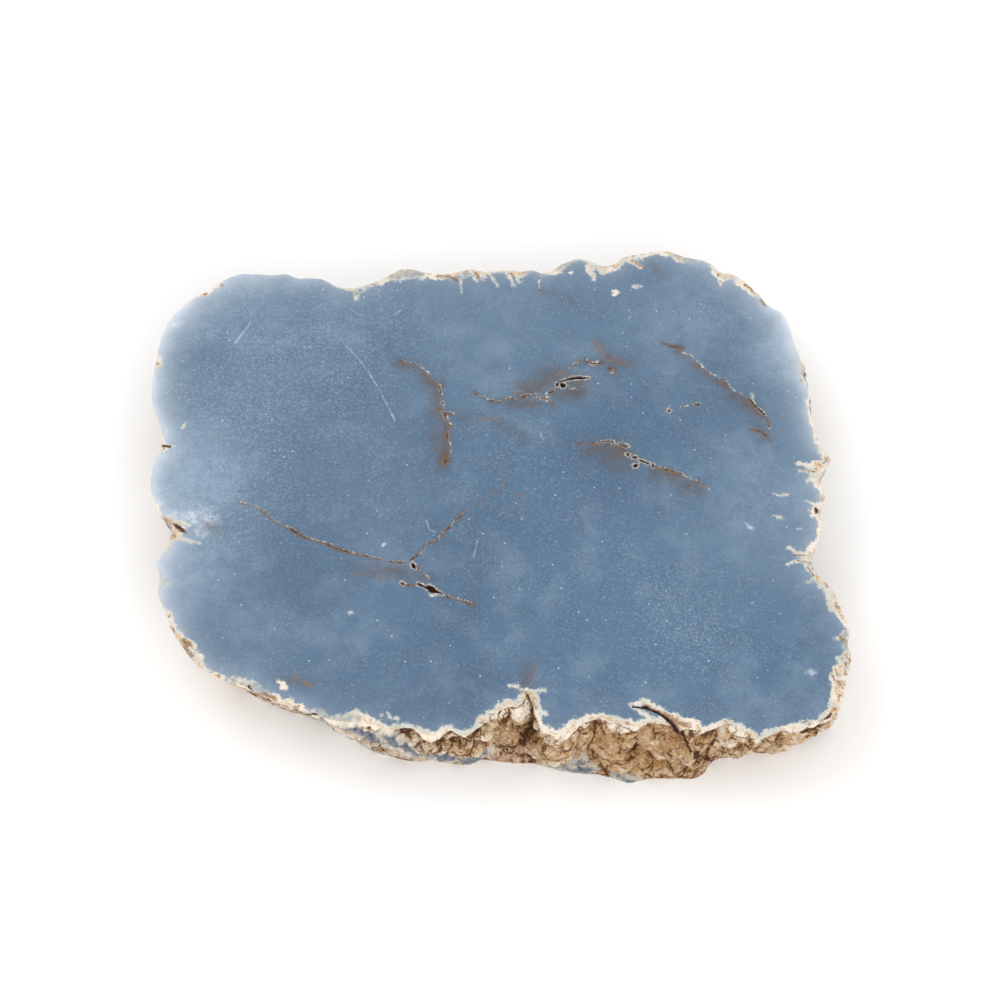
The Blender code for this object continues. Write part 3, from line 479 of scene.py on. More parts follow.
FRONT_CLEFTS = (
    Cleft(0.9, 1.6, 1.0, ((-19.5, 0.9), (-15.0, 2.4), (-12.0, 2.9), (-10.3, 3.4), (-7.0, 2.6), (-4.0, 5.8),
                          (-2.8, 7.4))),
    Cleft(1.3, 1.3, 0.3, ((5.6, 0.6), (5.9, 2.6), (6.2, 4.8), (5.8, 7.4), (5.0, 9.6), (4.2, 12.0),
                          (3.0, 14.0))),
    Cleft(1.0, 0.8, 2.3, ((5.6, 1.3), (5.9, 2.5))),
    Cleft(0.45, 0.8, 2.5, ((5.9, 2.8), (6.3, 4.8), (5.7, 6.6), (6.1, 8.0), (4.9, 9.6), (5.1, 11.4),
                           (4.4, 13.0))),
    Cleft(0.45, 0.8, 1.9, ((4.9, 9.6), (3.4, 11.0), (2.9, 12.6), (1.2, 13.2), (0.2, 14.8))),
    Cleft(0.7, 0.8, 1.5, ((3.6, 10.6), (4.6, 11.8))),
    Cleft(0.85, 1.1, 1.3, ((36.2, 0.0), (37.0, 1.8), (38.2, 4.0), (39.6, 6.7), (41.0, 8.8), (42.8, 12.0),
                           (44.6, 16.0), (45.0, 18.0))),
    Cleft(0.9, 0.5, 1.5, ((36.6, 0.6), (37.6, 2.6), (38.8, 4.8))),
    Cleft(1.2, 0.8, 0.8, ((40.6, 9.2), (42.4, 11.8))),
    Cleft(0.9, 1.5, 1.0, ((26.8, 8.6), (28.7, 6.6), (30.2, 8.4), (32.2, 11.0))),
    Cleft(1.1, 1.3, 0.7, ((20.2, 1.6), (18.4, 7.5), (18.8, 13.0), (19.6, 16.0))),
    Cleft(0.35, 0.7, 0.9, ((-16.6, 4.0), (-15.6, 7.0), (-14.2, 10.4))),
    Cleft(0.4, 0.7, 0.8, ((2.4, 1.0), (2.3, 5.6), (3.2, 7.4), (5.0, 8.6))),
    Cleft(0.4, 0.6, 0.8, ((-1.0, 9.4), (1.0, 8.4), (2.2, 6.6))),
    Cleft(0.4, 0.7, 0.8, ((13.6, 1.8), (15.4, 0.8), (17.2, 1.2))),
    Cleft(0.35, 0.6, 0.9, ((17.6, 4.4), (19.4, 2.6), (20.4, 0.8))),
    Cleft(0.4, 0.6, 0.8, ((25.8, 1.8), (27.6, 1.8), (29.4, 0.8))),
    Cleft(0.5, 0.7, 0.9, ((31.0, 0.9), (32.4, 0.8))),
    Cleft(0.4, 0.7, 0.8, ((33.2, 4.0), (35.4, 6.4))),
    Cleft(0.35, 0.6, 0.8, ((22.2, 11.0), (22.8, 14.6))),
    Cleft(0.4, 0.8, 0.9, ((42.0, 4.8), (45.0, 5.6), (50.0, 4.8))),
    Cleft(0.4, 0.7, 0.8, ((50.0, 4.4), (50.3, 8.4))),
    Cleft(0.4, 0.7, 0.8, ((55.2, 1.6), (56.4, 0.5), (58.6, 0.8))),
    Cleft(0.5, 0.8, 0.9, ((59.8, 2.0), (62.0, 1.2), (64.4, 1.9))),
    Cleft(0.35, 0.5, 0.6, ((43.0, 3.2), (46.0, 4.0), (48.6, 2.4))),
    Cleft(0.5, 0.6, 0.7, ((50.5, 7.4), (54.5, 8.6), (58.0, 7.6))),
)

FRONT_BOSSES = (
    Boss(4.0, -50.3, 2.3, 2.05, 0.05),
    Boss(-3.0, -53.4, 4.5, 1.8, 0.05),
    Boss(1.3, -51.2, 3.6, 1.15, 0.55),
    Boss(0.8, -50.5, 1.4, 0.95, 0.5),
    Boss(0.0, -51.3, 4.9, 0.85, 0.5),
    Boss(-1.6, -52.4, 2.2, 1.0, 0.1),
    Boss(14.0, -56.4, 2.8, 0.95, 0.1),
    Boss(15.4, -55.9, 2.0, 0.8, 0.2),
    Boss(7.7, -52.6, 2.6, 0.9, 0.15),
)

# Where rust soaked the front of the rind: X, depth, radius and strength
RUST_SOAKED = (
    Patch(2.0, 3.2, 3.2, 0.75), Patch(5.6, 7.5, 3.0, 0.8), Patch(3.0, 12.5, 3.4, 0.85),
    Patch(-6.5, 3.4, 2.5, 0.5), Patch(-13.0, 2.8, 2.5, 0.5), Patch(9.4, 6.0, 2.0, 0.5),
    Patch(11.0, 9.0, 2.0, 0.35), Patch(19.5, 4.0, 3.0, 0.5), Patch(18.5, 12.0, 2.5, 0.6),
    Patch(24.5, 5.0, 3.5, 0.4), Patch(28.5, 7.5, 2.8, 0.7), Patch(27.0, 11.5, 2.5, 0.4),
    Patch(33.0, 3.0, 2.5, 0.5), Patch(37.0, 4.5, 2.6, 0.8), Patch(40.0, 9.0, 3.0, 0.75),
    Patch(43.0, 14.0, 2.5, 0.75), Patch(31.0, 12.0, 3.0, 0.35), Patch(46.5, 3.5, 2.5, 0.5),
    Patch(52.0, 6.0, 3.0, 0.5), Patch(58.0, 1.5, 2.5, 0.5), Patch(62.5, 2.0, 2.5, 0.5),
    Patch(-20.0, 1.8, 2.0, 0.5), Patch(-45.0, 2.0, 1.5, 0.4), Patch(-38.0, 1.5, 1.5, 0.5),
    Patch(22.5, 15.5, 2.0, 0.5), Patch(35.5, 12.5, 2.5, 0.45), Patch(-65.0, 2.5, 3.0, 0.6),
)

# Where the front of the rind stayed chalky and clean: X, depth, radius and strength
CHALKY_PLACES = (
    Patch(8.2, 2.4, 2.4, 0.9), Patch(12.0, 1.6, 1.6, 0.3), Patch(15.5, 7.8, 2.4, 0.6),
    Patch(7.0, 13.6, 2.2, 0.6), Patch(32.7, 14.6, 2.0, 0.8), Patch(43.5, 17.0, 2.6, 0.6),
    Patch(-1.6, 4.4, 2.0, 0.5), Patch(22.8, 1.0, 1.6, 0.3), Patch(26.0, 13.0, 2.2, 0.5),
    Patch(37.0, 15.0, 2.4, 0.6), Patch(48.5, 1.2, 1.8, 0.4), Patch(54.0, 3.4, 2.0, 0.3),
    Patch(12.5, 5.0, 1.8, 0.5), Patch(35.6, 9.0, 1.6, 0.4), Patch(-24.0, 6.0, 3.0, 0.6),
    Patch(60.5, 3.8, 2.4, 0.5),
)

# Where the rind is broken away from the front, mostly near the foot
BLUE_WINDOWS = (
    BareStone(2.2, ((-31.0, 3.4), (-27.0, 5.0))),
    BareStone(1.5, ((-23.5, 3.0), (-19.0, 8.0), (-16.0, 11.5))),
    BareStone(1.7, ((-13.0, 10.5), (-8.0, 12.5), (-4.0, 13.0))),
    BareStone(1.4, ((10.8, 14.6), (14.0, 16.0), (18.4, 15.8))),
    BareStone(0.9, ((15.2, 11.0), (17.0, 11.4))),
    BareStone(1.0, ((25.0, 16.6), (28.0, 17.2))),
    BareStone(1.0, ((-49.0, 3.5), (-46.0, 5.0))),
    BareStone(0.8, ((-38.0, 3.0), (-35.5, 5.0))),
)


def linear(hex_colour: str) -> tuple[float, float, float, float]:
    """Turns an sRGB hex colour into linear values.

    Args:
        hex_colour: six hex digits after a hash sign.

    Returns:
        Linear red, green and blue, and an alpha of 1.
    """
    channels = [int(hex_colour[start:start + 2], 16) / 255.0 for start in (1, 3, 5)]
    values = [c / 12.92 if c <= 0.04045 else ((c + 0.055) / 1.055) ** 2.4 for c in channels]
    return (values[0], values[1], values[2], 1.0)


def per_mm(size: float) -> float:
    """Returns the texture scale, in object metres, of a pattern whose features are size millimetres apart."""
    return 1.0 / (size * MM)


def soft_step(values: np.ndarray, width: float) -> np.ndarray:
    """Returns 0 below minus half the width, 1 above half the width, and a smooth ramp between.

    Args:
        values: signed distances.
        width: the width of the ramp.

    Returns:
        The eased values.
    """
    t = np.clip(values / width + 0.5, 0.0, 1.0)
    return t * t * (3.0 - 2.0 * t)


def closed_curve(points: tuple, steps: int = 12) -> np.ndarray:
    """Returns many points along a smooth closed curve.

    Args:
        points: the curve's anchors, each with any number of values.
        steps: how many points each span gets.

    Returns:
        One row for each point of the curve.
    """
    anchors = np.array(points, dtype=float)
    before = np.roll(anchors, 1, axis=0)
    after = np.roll(anchors, -1, axis=0)
    beyond = np.roll(anchors, -2, axis=0)
    pieces = []
    for step in range(steps):
        t = step / steps
        pieces.append(0.5 * (
            2.0 * anchors
            + (after - before) * t
            + (2.0 * before - 5.0 * anchors + 4.0 * after - beyond) * t ** 2
            + (3.0 * anchors - before - 3.0 * after + beyond) * t ** 3
        ))
    return np.stack(pieces, axis=1).reshape(-1, anchors.shape[1])


def even_columns(curve: np.ndarray, pitch: float) -> np.ndarray:
    """Returns points spaced evenly along a closed curve.

    Args:
        curve: the curve's rows, whose first two values are its plan place.
        pitch: the wanted spacing.

    Returns:
        The evenly spaced rows.
    """
    loop = np.vstack([curve, curve[:1]])
    run = np.concatenate([[0.0], np.cumsum(np.linalg.norm(np.diff(loop[:, :2], axis=0), axis=1))])
    stations = np.linspace(0.0, run[-1], int(round(run[-1] / pitch)), endpoint=False)
    return np.stack([np.interp(stations, run, column) for column in loop.T], axis=1)


def smoothed(values: np.ndarray, reach: int) -> np.ndarray:
    """Returns a closed run of values averaged over reach neighbours on each side."""
    total = np.zeros_like(values)
    for shift in range(-reach, reach + 1):
        total += np.roll(values, shift, axis=0)
    return total / (2 * reach + 1)


def bearings_of(points: np.ndarray) -> np.ndarray:
    """Returns each plan point's bearing from the drawing's origin, in degrees from the right."""
    return np.degrees(np.arctan2(points[:, 1], points[:, 0])) % 360.0


def path_distance(points: np.ndarray, path: np.ndarray) -> tuple[np.ndarray, np.ndarray]:
    """Measures how far points are from a polyline.

    Args:
        points: the points, one row each.
        path: the polyline's points, one row each.

    Returns:
        Each point's distance, and where along the path its nearest place is, counted in spans.
    """
    nearest = np.full(len(points), np.inf)
    place = np.zeros(len(points))
    for index in range(len(path) - 1):
        span = path[index + 1] - path[index]
        t = np.clip(((points - path[index]) @ span) / max(float(span @ span), 1e-9), 0.0, 1.0)
        distance = np.linalg.norm(points - path[index] - t[:, None] * span, axis=1)
        closer = distance < nearest
        nearest[closer] = distance[closer]
        place[closer] = index + t[closer]
    return nearest, place


def is_inside(points: np.ndarray, outline: np.ndarray) -> np.ndarray:
    """Tells which points lie inside a closed outline.

    Args:
        points: plan points, one row each.
        outline: the outline's points, one row each.

    Returns:
        True for each point inside.
    """
    x, y = points[:, 0], points[:, 1]
    found = np.zeros(len(points), dtype=bool)
    for (x0, y0), (x1, y1) in zip(outline, np.roll(outline, -1, axis=0)):
        if y0 != y1:
            found ^= ((y0 > y) != (y1 > y)) & (x < (x1 - x0) * (y - y0) / (y1 - y0) + x0)
    return found


def depth_inside(points: np.ndarray, outline: Path) -> np.ndarray:
    """Returns each point's distance to a closed outline, positive inside it and negative outside."""
    corners = np.array(outline, dtype=float)
    distance, _ = path_distance(points, np.vstack([corners, corners[:1]]))
    return np.where(is_inside(points, corners), distance, -distance)


def noise_at(points: np.ndarray, size: float, seed: float) -> np.ndarray:
    """Returns smooth noise from about -1 to 1 at each point.

    Args:
        points: plan or space points, in millimetres.
        size: how far apart the noise's features are.
        seed: which of the noise's slices is read.

    Returns:
        One value for each point.
    """
    flat = points.shape[1] == 2
    return np.array([
        noise.noise(Vector((p[0] / size, p[1] / size, seed if flat else p[2] / size + seed))) for p in points
    ])


def patches_at(plan: np.ndarray, places: tuple[Patch, ...]) -> np.ndarray:
    """Returns how strong the given soft patches are at each point, from 0 to 1."""
    total = np.zeros(len(plan))
    for place in places:
        off = np.hypot(plan[:, 0] - place.x, plan[:, 1] - place.y) / place.radius
        total += place.strength * np.exp(-off ** 2)
    return np.minimum(total, 1.0)


def to_metres(plan: np.ndarray, height: np.ndarray) -> np.ndarray:
    """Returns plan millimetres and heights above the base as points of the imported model's frame."""
    return np.column_stack([plan[:, 0] - PLAN_MIDDLE[0], plan[:, 1] - PLAN_MIDDLE[1], height]) * MM


@dataclass
class RindRelief:
    """The lumps, creases and ledges of the natural rind, in millimetres."""

    coarse_size: float = 6.8
    coarse_height: float = 2.9
    small_size: float = 3.4
    small_height: float = 1.1
    fine_size: float = 1.7
    fine_height: float = 0.45
    grain_size: float = 0.8
    grain_height: float = 0.18
    spread: float = 0.95
    roundness: float = 0.7
    mean: float = 0.62
    crease_width: float = 0.07
    crease_share: float = 0.3
    bend_size: float = 5.0
    bend_reach: float = 1.7
    crook_size: float = 1.8
    crook_reach: float = 0.5
    flatness: float = 1.2
    lip_depth: float = 1.5
    foot_start: float = 13.0
    foot_calm: float = 0.8
    ledge_pitch: float = 5.2
    ledge_reach: float = 1.3
    first_ledge_bearing: float = 308.0
    last_ledge_bearing: float = 328.0
    rim_blend: float = 1.6
    stain_size: float = 9.0
    break_size: float = 2.6
    wave_size: float = 6.0
    soak_size: float = 2.2
    rust_share: tuple[float, float, float] = (0.42, 0.36, 0.12)
    rust_reach: tuple[float, float, float] = (0.6, 0.35, 0.2)
    clean_rim: float = 0.4
    rust_onset: float = 1.4
    chalk_cleans: float = 0.7
    chalk_closes: float = 0.3
    dark_share: float = 0.34
    outline_width: float = 0.2
    outline_place: float = 1.1

    def lumps(self, points: np.ndarray, size: float) -> tuple[np.ndarray, np.ndarray, np.ndarray]:
        """Works out rounded lumps of one size that meet in sharp creases.

        Args:
            points: the wall's points, in millimetres.
            size: how far apart the lumps are.

        Returns:
            The relief about 0, each point's distance from the nearest crease, and each lump's own tone.
        """
        relief = np.empty(len(points))
        off_crease = np.empty(len(points))
        tone = np.empty(len(points))
        for index, point in enumerate(points):
            distances, centres = noise.voronoi(Vector(point) / size)
            dome = max(0.0, 1.0 - (distances[0] / self.spread) ** 2) ** self.roundness
            gap = 0.5 * (distances[1] - distances[0])
            relief[index] = dome - self.mean - self.crease_share * math.exp(-(gap / self.crease_width) ** 2)
            off_crease[index] = gap * size
            tone[index] = (math.sin(centres[0].dot(Vector((12.9, 78.2, 37.7)))) * 43758.5) % 1.0
        return relief, off_crease, tone

    def bent(self, points: np.ndarray) -> np.ndarray:
        """Returns the points moved by smooth noise, so that the lumps read there are crooked and flat."""
        moved = points * (1.0, 1.0, self.flatness)
        for size, reach in ((self.bend_size, self.bend_reach), (self.crook_size, self.crook_reach)):
            moved += reach * np.stack([noise_at(points, size, seed) for seed in (80.0, 84.0, 88.0)], axis=1)
        return moved

    def ledges(self, x: np.ndarray, depth: np.ndarray, bearing: np.ndarray) -> np.ndarray:
        """Returns how far the layered ledges of the right-hand front stand out at each point."""
        outside = np.maximum(self.first_ledge_bearing - bearing, bearing - self.last_ledge_bearing)
        share = np.clip(1.0 - np.maximum(0.0, outside) / 8.0, 0.0, 1.0)
        drift = np.array([noise.noise(Vector((value / 14.0, 0.0, 3.0))) for value in x])
        layer = (depth / self.ledge_pitch + 0.35 * drift) % 1.0
        return share * self.ledge_reach * (layer - 0.5)

    def over(
        self, plan: np.ndarray, depth: np.ndarray, bearing: np.ndarray, outward: np.ndarray,
    ) -> dict[str, np.ndarray]:
        """Works out the rind's relief and the marks that go with it.

        Args:
            plan: the wall's points before any relief, in plan.
            depth: their depths below the face.
            bearing: their bearings.
            outward: unit vectors out of the stone at the points.

        Returns:
            Arrays named relief, seam (signed millimetres), rust, tone and warm.
        """
        points = np.column_stack([plan, -depth])
        bent = self.bent(points)
        coarse, coarse_off, tone = self.lumps(bent, self.coarse_size)
        small, small_off, small_tone = self.lumps(bent, self.small_size)
        fine, fine_off, _ = self.lumps(bent, self.fine_size)
        grain, _, _ = self.lumps(bent, self.grain_size)
        relief = self.coarse_height * coarse + self.small_height * small
        relief += self.fine_height * fine + self.grain_height * grain
        relief += self.ledges(plan[:, 0], depth, bearing)
        front = np.flatnonzero(plan[:, 1] < FRONT_Y)
        seam, rust = self.creases(points, front, (coarse_off, small_off, fine_off))
        chalky = patches_at(np.column_stack([plan[front, 0], depth[front]]), CHALKY_PLACES)
        rust[front] *= 1.0 - self.chalk_cleans * chalky
        seam[front] -= self.chalk_closes * chalky
        self.cut_clefts(points, front, relief, seam, rust)
        rust *= np.clip((depth - self.clean_rim) / self.rust_onset, 0.0, 1.0)
        relief *= np.minimum(1.0, depth / self.rim_blend)
        foot = np.clip((depth - self.foot_start) / (THICKNESS - self.foot_start), 0.0, 1.0)
        relief *= 1.0 - self.foot_calm * foot
        self.grow_bosses(points, outward, front, relief, seam, rust)
        tone = 0.6 * tone + 0.4 * small_tone
        tone[front] *= 1.0 - chalky
        return {
            "relief": relief, "seam": np.clip(seam, NOWHERE, 1.0), "rust": rust, "tone": tone,
            "warm": self.warmth(points),
        }

    def creases(
        self, points: np.ndarray, front: np.ndarray, off: tuple[np.ndarray, np.ndarray, np.ndarray],
    ) -> tuple[np.ndarray, np.ndarray]:
        """Works out dark seams and soaked rust along the creases between the lumps.

        Args:
            points: the wall's points, with their depth as a negative height.
            front: the indices of the points that the photograph shows.
            off: the points' distances from the creases of the coarse, small and fine lumps.

        Returns:
            The seams, in signed millimetres, and the rust, from 0 up.
        """
        depth = -points[:, 2]
        stained = soft_step(noise_at(points, self.stain_size, 31.0) + 0.1, 0.7)
        broken = noise_at(points, self.break_size, 34.0)
        seam = np.maximum(0.26 * stained - 0.06 - off[0], 0.2 * stained - 0.1 - off[1]) + 0.2 * broken
        wave = noise_at(points, self.wave_size, 55.0)
        under_lip = 0.5 * wave - np.abs(depth - self.lip_depth - 0.8 * wave)
        seam = np.maximum(seam, np.where(points[:, 1] < FRONT_Y, under_lip, -1.0))
        rust = self.rust_share[0] * np.exp(-(off[0] / self.rust_reach[0]) ** 2)
        rust += self.rust_share[1] * np.exp(-(off[1] / self.rust_reach[1]) ** 2) * stained
        rust += self.rust_share[2] * np.exp(-(off[2] / self.rust_reach[2]) ** 2)
        soaked = patches_at(np.column_stack([points[front, 0], depth[front]]), RUST_SOAKED)
        soaked *= 0.72 + 0.9 * noise_at(points[front], self.soak_size, 47.0)
        rust[front] = np.maximum(rust[front], soaked + 0.3 * rust[front])
        return seam, rust

    def cut_clefts(
        self, points: np.ndarray, front: np.ndarray, relief: np.ndarray, seam: np.ndarray, rust: np.ndarray,
    ) -> None:
        """Cuts the front's clefts into the relief, and darkens and rusts them.

        Args:
            points: the wall's points, with their depth as a negative height.
            front: the indices of the points that the photograph shows.
            relief: the relief, which is changed.
            seam: the dark seams, which are changed.
            rust: the rust, which is changed.
        """
        place = np.column_stack([points[front, 0], -points[front, 2]])
        for cleft in FRONT_CLEFTS:
            off = path_distance(place, np.array(cleft.path))[0] / cleft.half_width
            relief[front] -= cleft.cut * np.exp(-off ** 2)
            half_line = self.dark_share * cleft.dark * min(1.0, cleft.half_width)
            seam[front] = np.maximum(seam[front], half_line - off * cleft.half_width)
            rust[front] = np.maximum(rust[front], 0.6 * cleft.dark * np.exp(-(off * 0.8) ** 2))

    def grow_bosses(
        self, points: np.ndarray, outward: np.ndarray, front: np.ndarray, relief: np.ndarray,
        seam: np.ndarray, rust: np.ndarray,
    ) -> None:
        """Grows the front's round lumps out of the relief, clean but for a dark line round each.

        Args:
            points: the wall's points, with their depth as a negative height.
            outward: unit vectors out of the stone at the points.
            front: the indices of the points that the photograph shows.
            relief: the relief, which is changed.
            seam: the dark seams, which are changed.
            rust: the rust, which is changed.
        """
        broken = noise_at(points[front], self.break_size, 34.0)
        ball_rust = np.full(len(front), -1.0)
        for boss in FRONT_BOSSES:
            offset = points[front] - (boss.x, boss.y, -boss.depth)
            along = np.sum(offset[:, :2] * outward[front], axis=1)
            aside = np.sqrt(np.maximum(np.sum(offset ** 2, axis=1) - along ** 2, 0.0))
            dome = np.sqrt(np.clip(boss.radius ** 2 - aside ** 2, 0.0, None)) - along
            on_ball = (aside < boss.radius) & (dome > relief[front])
            relief[front] = np.where(on_ball, dome, relief[front])
            outline = self.outline_width * (1.0 + broken) - np.abs(aside - self.outline_place * boss.radius)
            seam[front] = np.maximum(seam[front], outline)
            ball_rust = np.where(on_ball, boss.rust, ball_rust)
        on_ball = ball_rust >= 0.0
        seam[front] = np.where(on_ball, -1.0, seam[front])
        rust[front] = np.where(on_ball, ball_rust, rust[front])

    @staticmethod
    def warmth(points: np.ndarray) -> np.ndarray:
        """Returns how warm the rind is: placed along the front, and drifting slowly elsewhere."""
        warmth_x, placed = np.array(RIND_WARMTH).T
        drifting = 0.45 + 0.35 * noise_at(points, 16.0, 70.0)
        facing = np.clip((-34.0 - points[:, 1]) / 8.0, 0.0, 1.0)
        return np.interp(points[:, 0], warmth_x, placed) * facing + drifting * (1.0 - facing)


@dataclass
class Slab:
    """The whole stone as one closed mesh: polished face, natural side and sawn base."""

    column_pitch: float = 0.4
    wall_rows: int = 42
    face_pitch: float = 1.7
    rim_zone: float = 3.6
    rim_pitch: float = 0.48
    vein_zone: float = 1.1
    vein_pitch: float = 0.25
    scratch_zone: float = 0.5
    pit_zone: float = 0.6
    pit_pitch: float = 0.13
    base_pitch: float = 3.2
    tooth_height: float = 0.14
    pit_wall: float = 0.3
    crack_step: float = 0.015
    crack_mouth: float = 0.9
    crack_slope: float = 0.7
    crack_end: tuple[float, float] = (36.0, -54.0)
    fissure_side: tuple[float, float] = (0.0, 0.15)
    mouth_blend: float = 1.8
    glow_reach: float = 2.6
    mouth_depth: float = 0.2
    mouth_dark: float = 0.6
    no_window: float = -4.0

    def rim(self) -> np.ndarray:
        """Returns the face's rim at the wall's pitch, with small natural teeth: X, Y and rind width."""
        columns = even_columns(closed_curve(BACK_RIM + RIGHT_RIM + FRONT_RIM + LEFT_RIM), self.column_pitch)
        teeth = noise_at(columns[:, :2], 1.3, 5.0) + 0.6 * noise_at(columns[:, :2], 0.65, 9.0)
        columns[:, :2] += self.outward(columns[:, :2]) * (self.tooth_height * teeth)[:, None]
        return columns

    def outward(self, plan: np.ndarray) -> np.ndarray:
        """Returns unit vectors that point out of a clockwise outline, without its small teeth."""
        calm = smoothed(plan, int(round(8.0 / self.column_pitch)))
        along = np.roll(calm, -1, axis=0) - np.roll(calm, 1, axis=0)
        along /= np.linalg.norm(along, axis=1, keepdims=True)
        return np.stack([-along[:, 1], along[:, 0]], axis=1)

    def base_points(self, rim: np.ndarray) -> np.ndarray:
        """Returns, for each column of the rim, the point of the base's outline at the same bearing."""
        outline = closed_curve(BASE_OUTLINE)
        bearing = bearings_of(outline)
        order = np.argsort(bearing)
        radius = np.linalg.norm(outline, axis=1)
        column_bearing = bearings_of(smoothed(rim, int(round(2.6 / self.column_pitch))))
        reach = np.interp(column_bearing, bearing[order], radius[order], period=360.0)
        angle = np.radians(column_bearing)
        return np.stack([reach * np.cos(angle), reach * np.sin(angle)], axis=1)

    def sunk(self, plan: np.ndarray) -> np.ndarray:
        """Returns how far the pits and the crack sink the face at each plan point, in millimetres."""
        depth = np.zeros(len(plan))
        for opening, inner in self.openings(plan):
            depth = np.maximum(depth, opening.depth * soft_step(inner - 0.5 * self.pit_wall, self.pit_wall))
        mouth = np.linalg.norm(plan - self.crack_end, axis=1)
        return np.minimum(depth, self.crack_mouth + self.crack_slope * mouth)

    @staticmethod
    def openings(plan: np.ndarray) -> list[tuple[Pit | Fissure, np.ndarray]]:
        """Pairs each pit and fissure with how far inside its ragged edge each plan point lies, in mm."""
        ragged = 0.09 * noise_at(plan, 0.5, 2.0)
        pairs: list[tuple[Pit | Fissure, np.ndarray]] = []
        for pit in PITS:
            pairs.append((pit, depth_inside(plan, pit.outline) + ragged))
        for fissure in FISSURES + (CRACK,):
            centre = np.array(fissure.centre)
            off, place = path_distance(plan, centre[:, :2])
            half = np.interp(place, np.arange(len(centre)), centre[:, 2])
            pairs.append((fissure, half - off + ragged))
        return pairs

    def wall(self, rim: np.ndarray) -> tuple[np.ndarray, np.ndarray, dict[str, np.ndarray]]:
        """Shapes the natural side.

        Args:
            rim: the face's rim, as X, Y and rind width.

        Returns:
            The side's points in metres with its rows from top to bottom, the rows' plan and depth, and the
            marks that go with the relief.
        """
        plan_rim = rim[:, :2]
        base = self.base_points(plan_rim)
        calm_rim = smoothed(plan_rim, int(round(4.0 / self.column_pitch)))
        outward = self.outward(plan_rim)
        bearing = bearings_of(plan_rim)
        swell_bearing, swell_size, relief_share = np.array(RIND_SWELL).T
        swell = np.interp(bearing, swell_bearing, swell_size, period=360.0)
        relief_here = np.interp(bearing, swell_bearing, relief_share, period=360.0)
        top = self.sunk(plan_rim)
        plans, depths = [], []
        for row in range(self.wall_rows + 1):
            depth = np.maximum(THICKNESS * (row / self.wall_rows) ** 1.2, top + self.crack_step * row)
            share = (depth / THICKNESS)[:, None]
            plan = calm_rim * (1.0 - share) + base * share + (plan_rim - calm_rim) * (1.0 - share) ** 2
            plans.append(plan + outward * (swell[:, None] * np.sin(math.pi * share ** 0.7)))
            depths.append(depth)
        plan = np.vstack(plans)
        depth = np.concatenate(depths)
        outward_all = np.tile(outward, (self.wall_rows + 1, 1))
        marks = RindRelief().over(plan, depth, np.tile(bearing, self.wall_rows + 1), outward_all)
        marks["relief"][:len(rim)] = 0.0
        top_all = np.tile(top, self.wall_rows + 1)
        from_top = np.clip((depth - top_all) / self.mouth_blend, 0.0, 1.0)
        marks["relief"] *= np.where(top_all > 0.05, from_top, 1.0)
        plan = plan + outward_all * (np.tile(relief_here, self.wall_rows + 1) * marks["relief"])[:, None]
        return to_metres(plan, THICKNESS - depth), np.column_stack([plan, depth]), marks

    def scatter(self, pitch: float, low: tuple[float, float], high: tuple[float, float]) -> np.ndarray:
        """Returns plan points on a triangular grid between two corners."""
        rows = np.arange(low[1], high[1], pitch * math.sqrt(0.75))
        lines = []
        for index, y in enumerate(rows):
            x = np.arange(low[0] + (index % 2) * pitch / 2.0, high[0], pitch)
            lines.append(np.column_stack([x, np.full(len(x), y)]))
        return np.vstack(lines)

    def face_plan(self, rim: np.ndarray) -> np.ndarray:
        """Returns the face's inner points: dense at pits, closer at veins and rim, and wide elsewhere."""
        outline = rim[::2, :2]
        closed = np.vstack([outline, outline[:1]])
        detail = [(np.array(vein.path), self.vein_zone) for vein in VEINS]
        detail += [(np.array(mark.path), self.vein_zone) for mark in FACE_STAINS + RIND_FINGERS]
        detail += [(np.array(mark.path), self.scratch_zone) for mark in SCRATCHES]
        pits = [np.array(pit.outline) for pit in PITS]
        for fissure in FISSURES + (CRACK,):
            centre = np.array(fissure.centre)
            pits.append(np.vstack([centre[:, :2] + self.fissure_side, centre[::-1, :2] - self.fissure_side]))

        def near_rim(points: np.ndarray) -> np.ndarray:
            """Returns each point's distance to the rim."""
            return path_distance(points, closed)[0]

        def near_pit(points: np.ndarray) -> np.ndarray:
            """Tells which points are at a pit's or the crack's edge, or inside it."""
            close = np.zeros(len(points), dtype=bool)
            for corners in pits:
                box = np.all((points > corners.min(0) - 1.0) & (points < corners.max(0) + 1.0), axis=1)
                close[box] |= depth_inside(points[box], corners) > -self.pit_zone
            return close

        def near_vein(points: np.ndarray) -> np.ndarray:
            """Tells which points are close to a vein or a mark."""
            close = np.zeros(len(points), dtype=bool)
            for path, zone in detail:
                box = np.all((points > path.min(0) - 2.0) & (points < path.max(0) + 2.0), axis=1)
                close[box] |= path_distance(points[box], path)[0] < zone
            return close

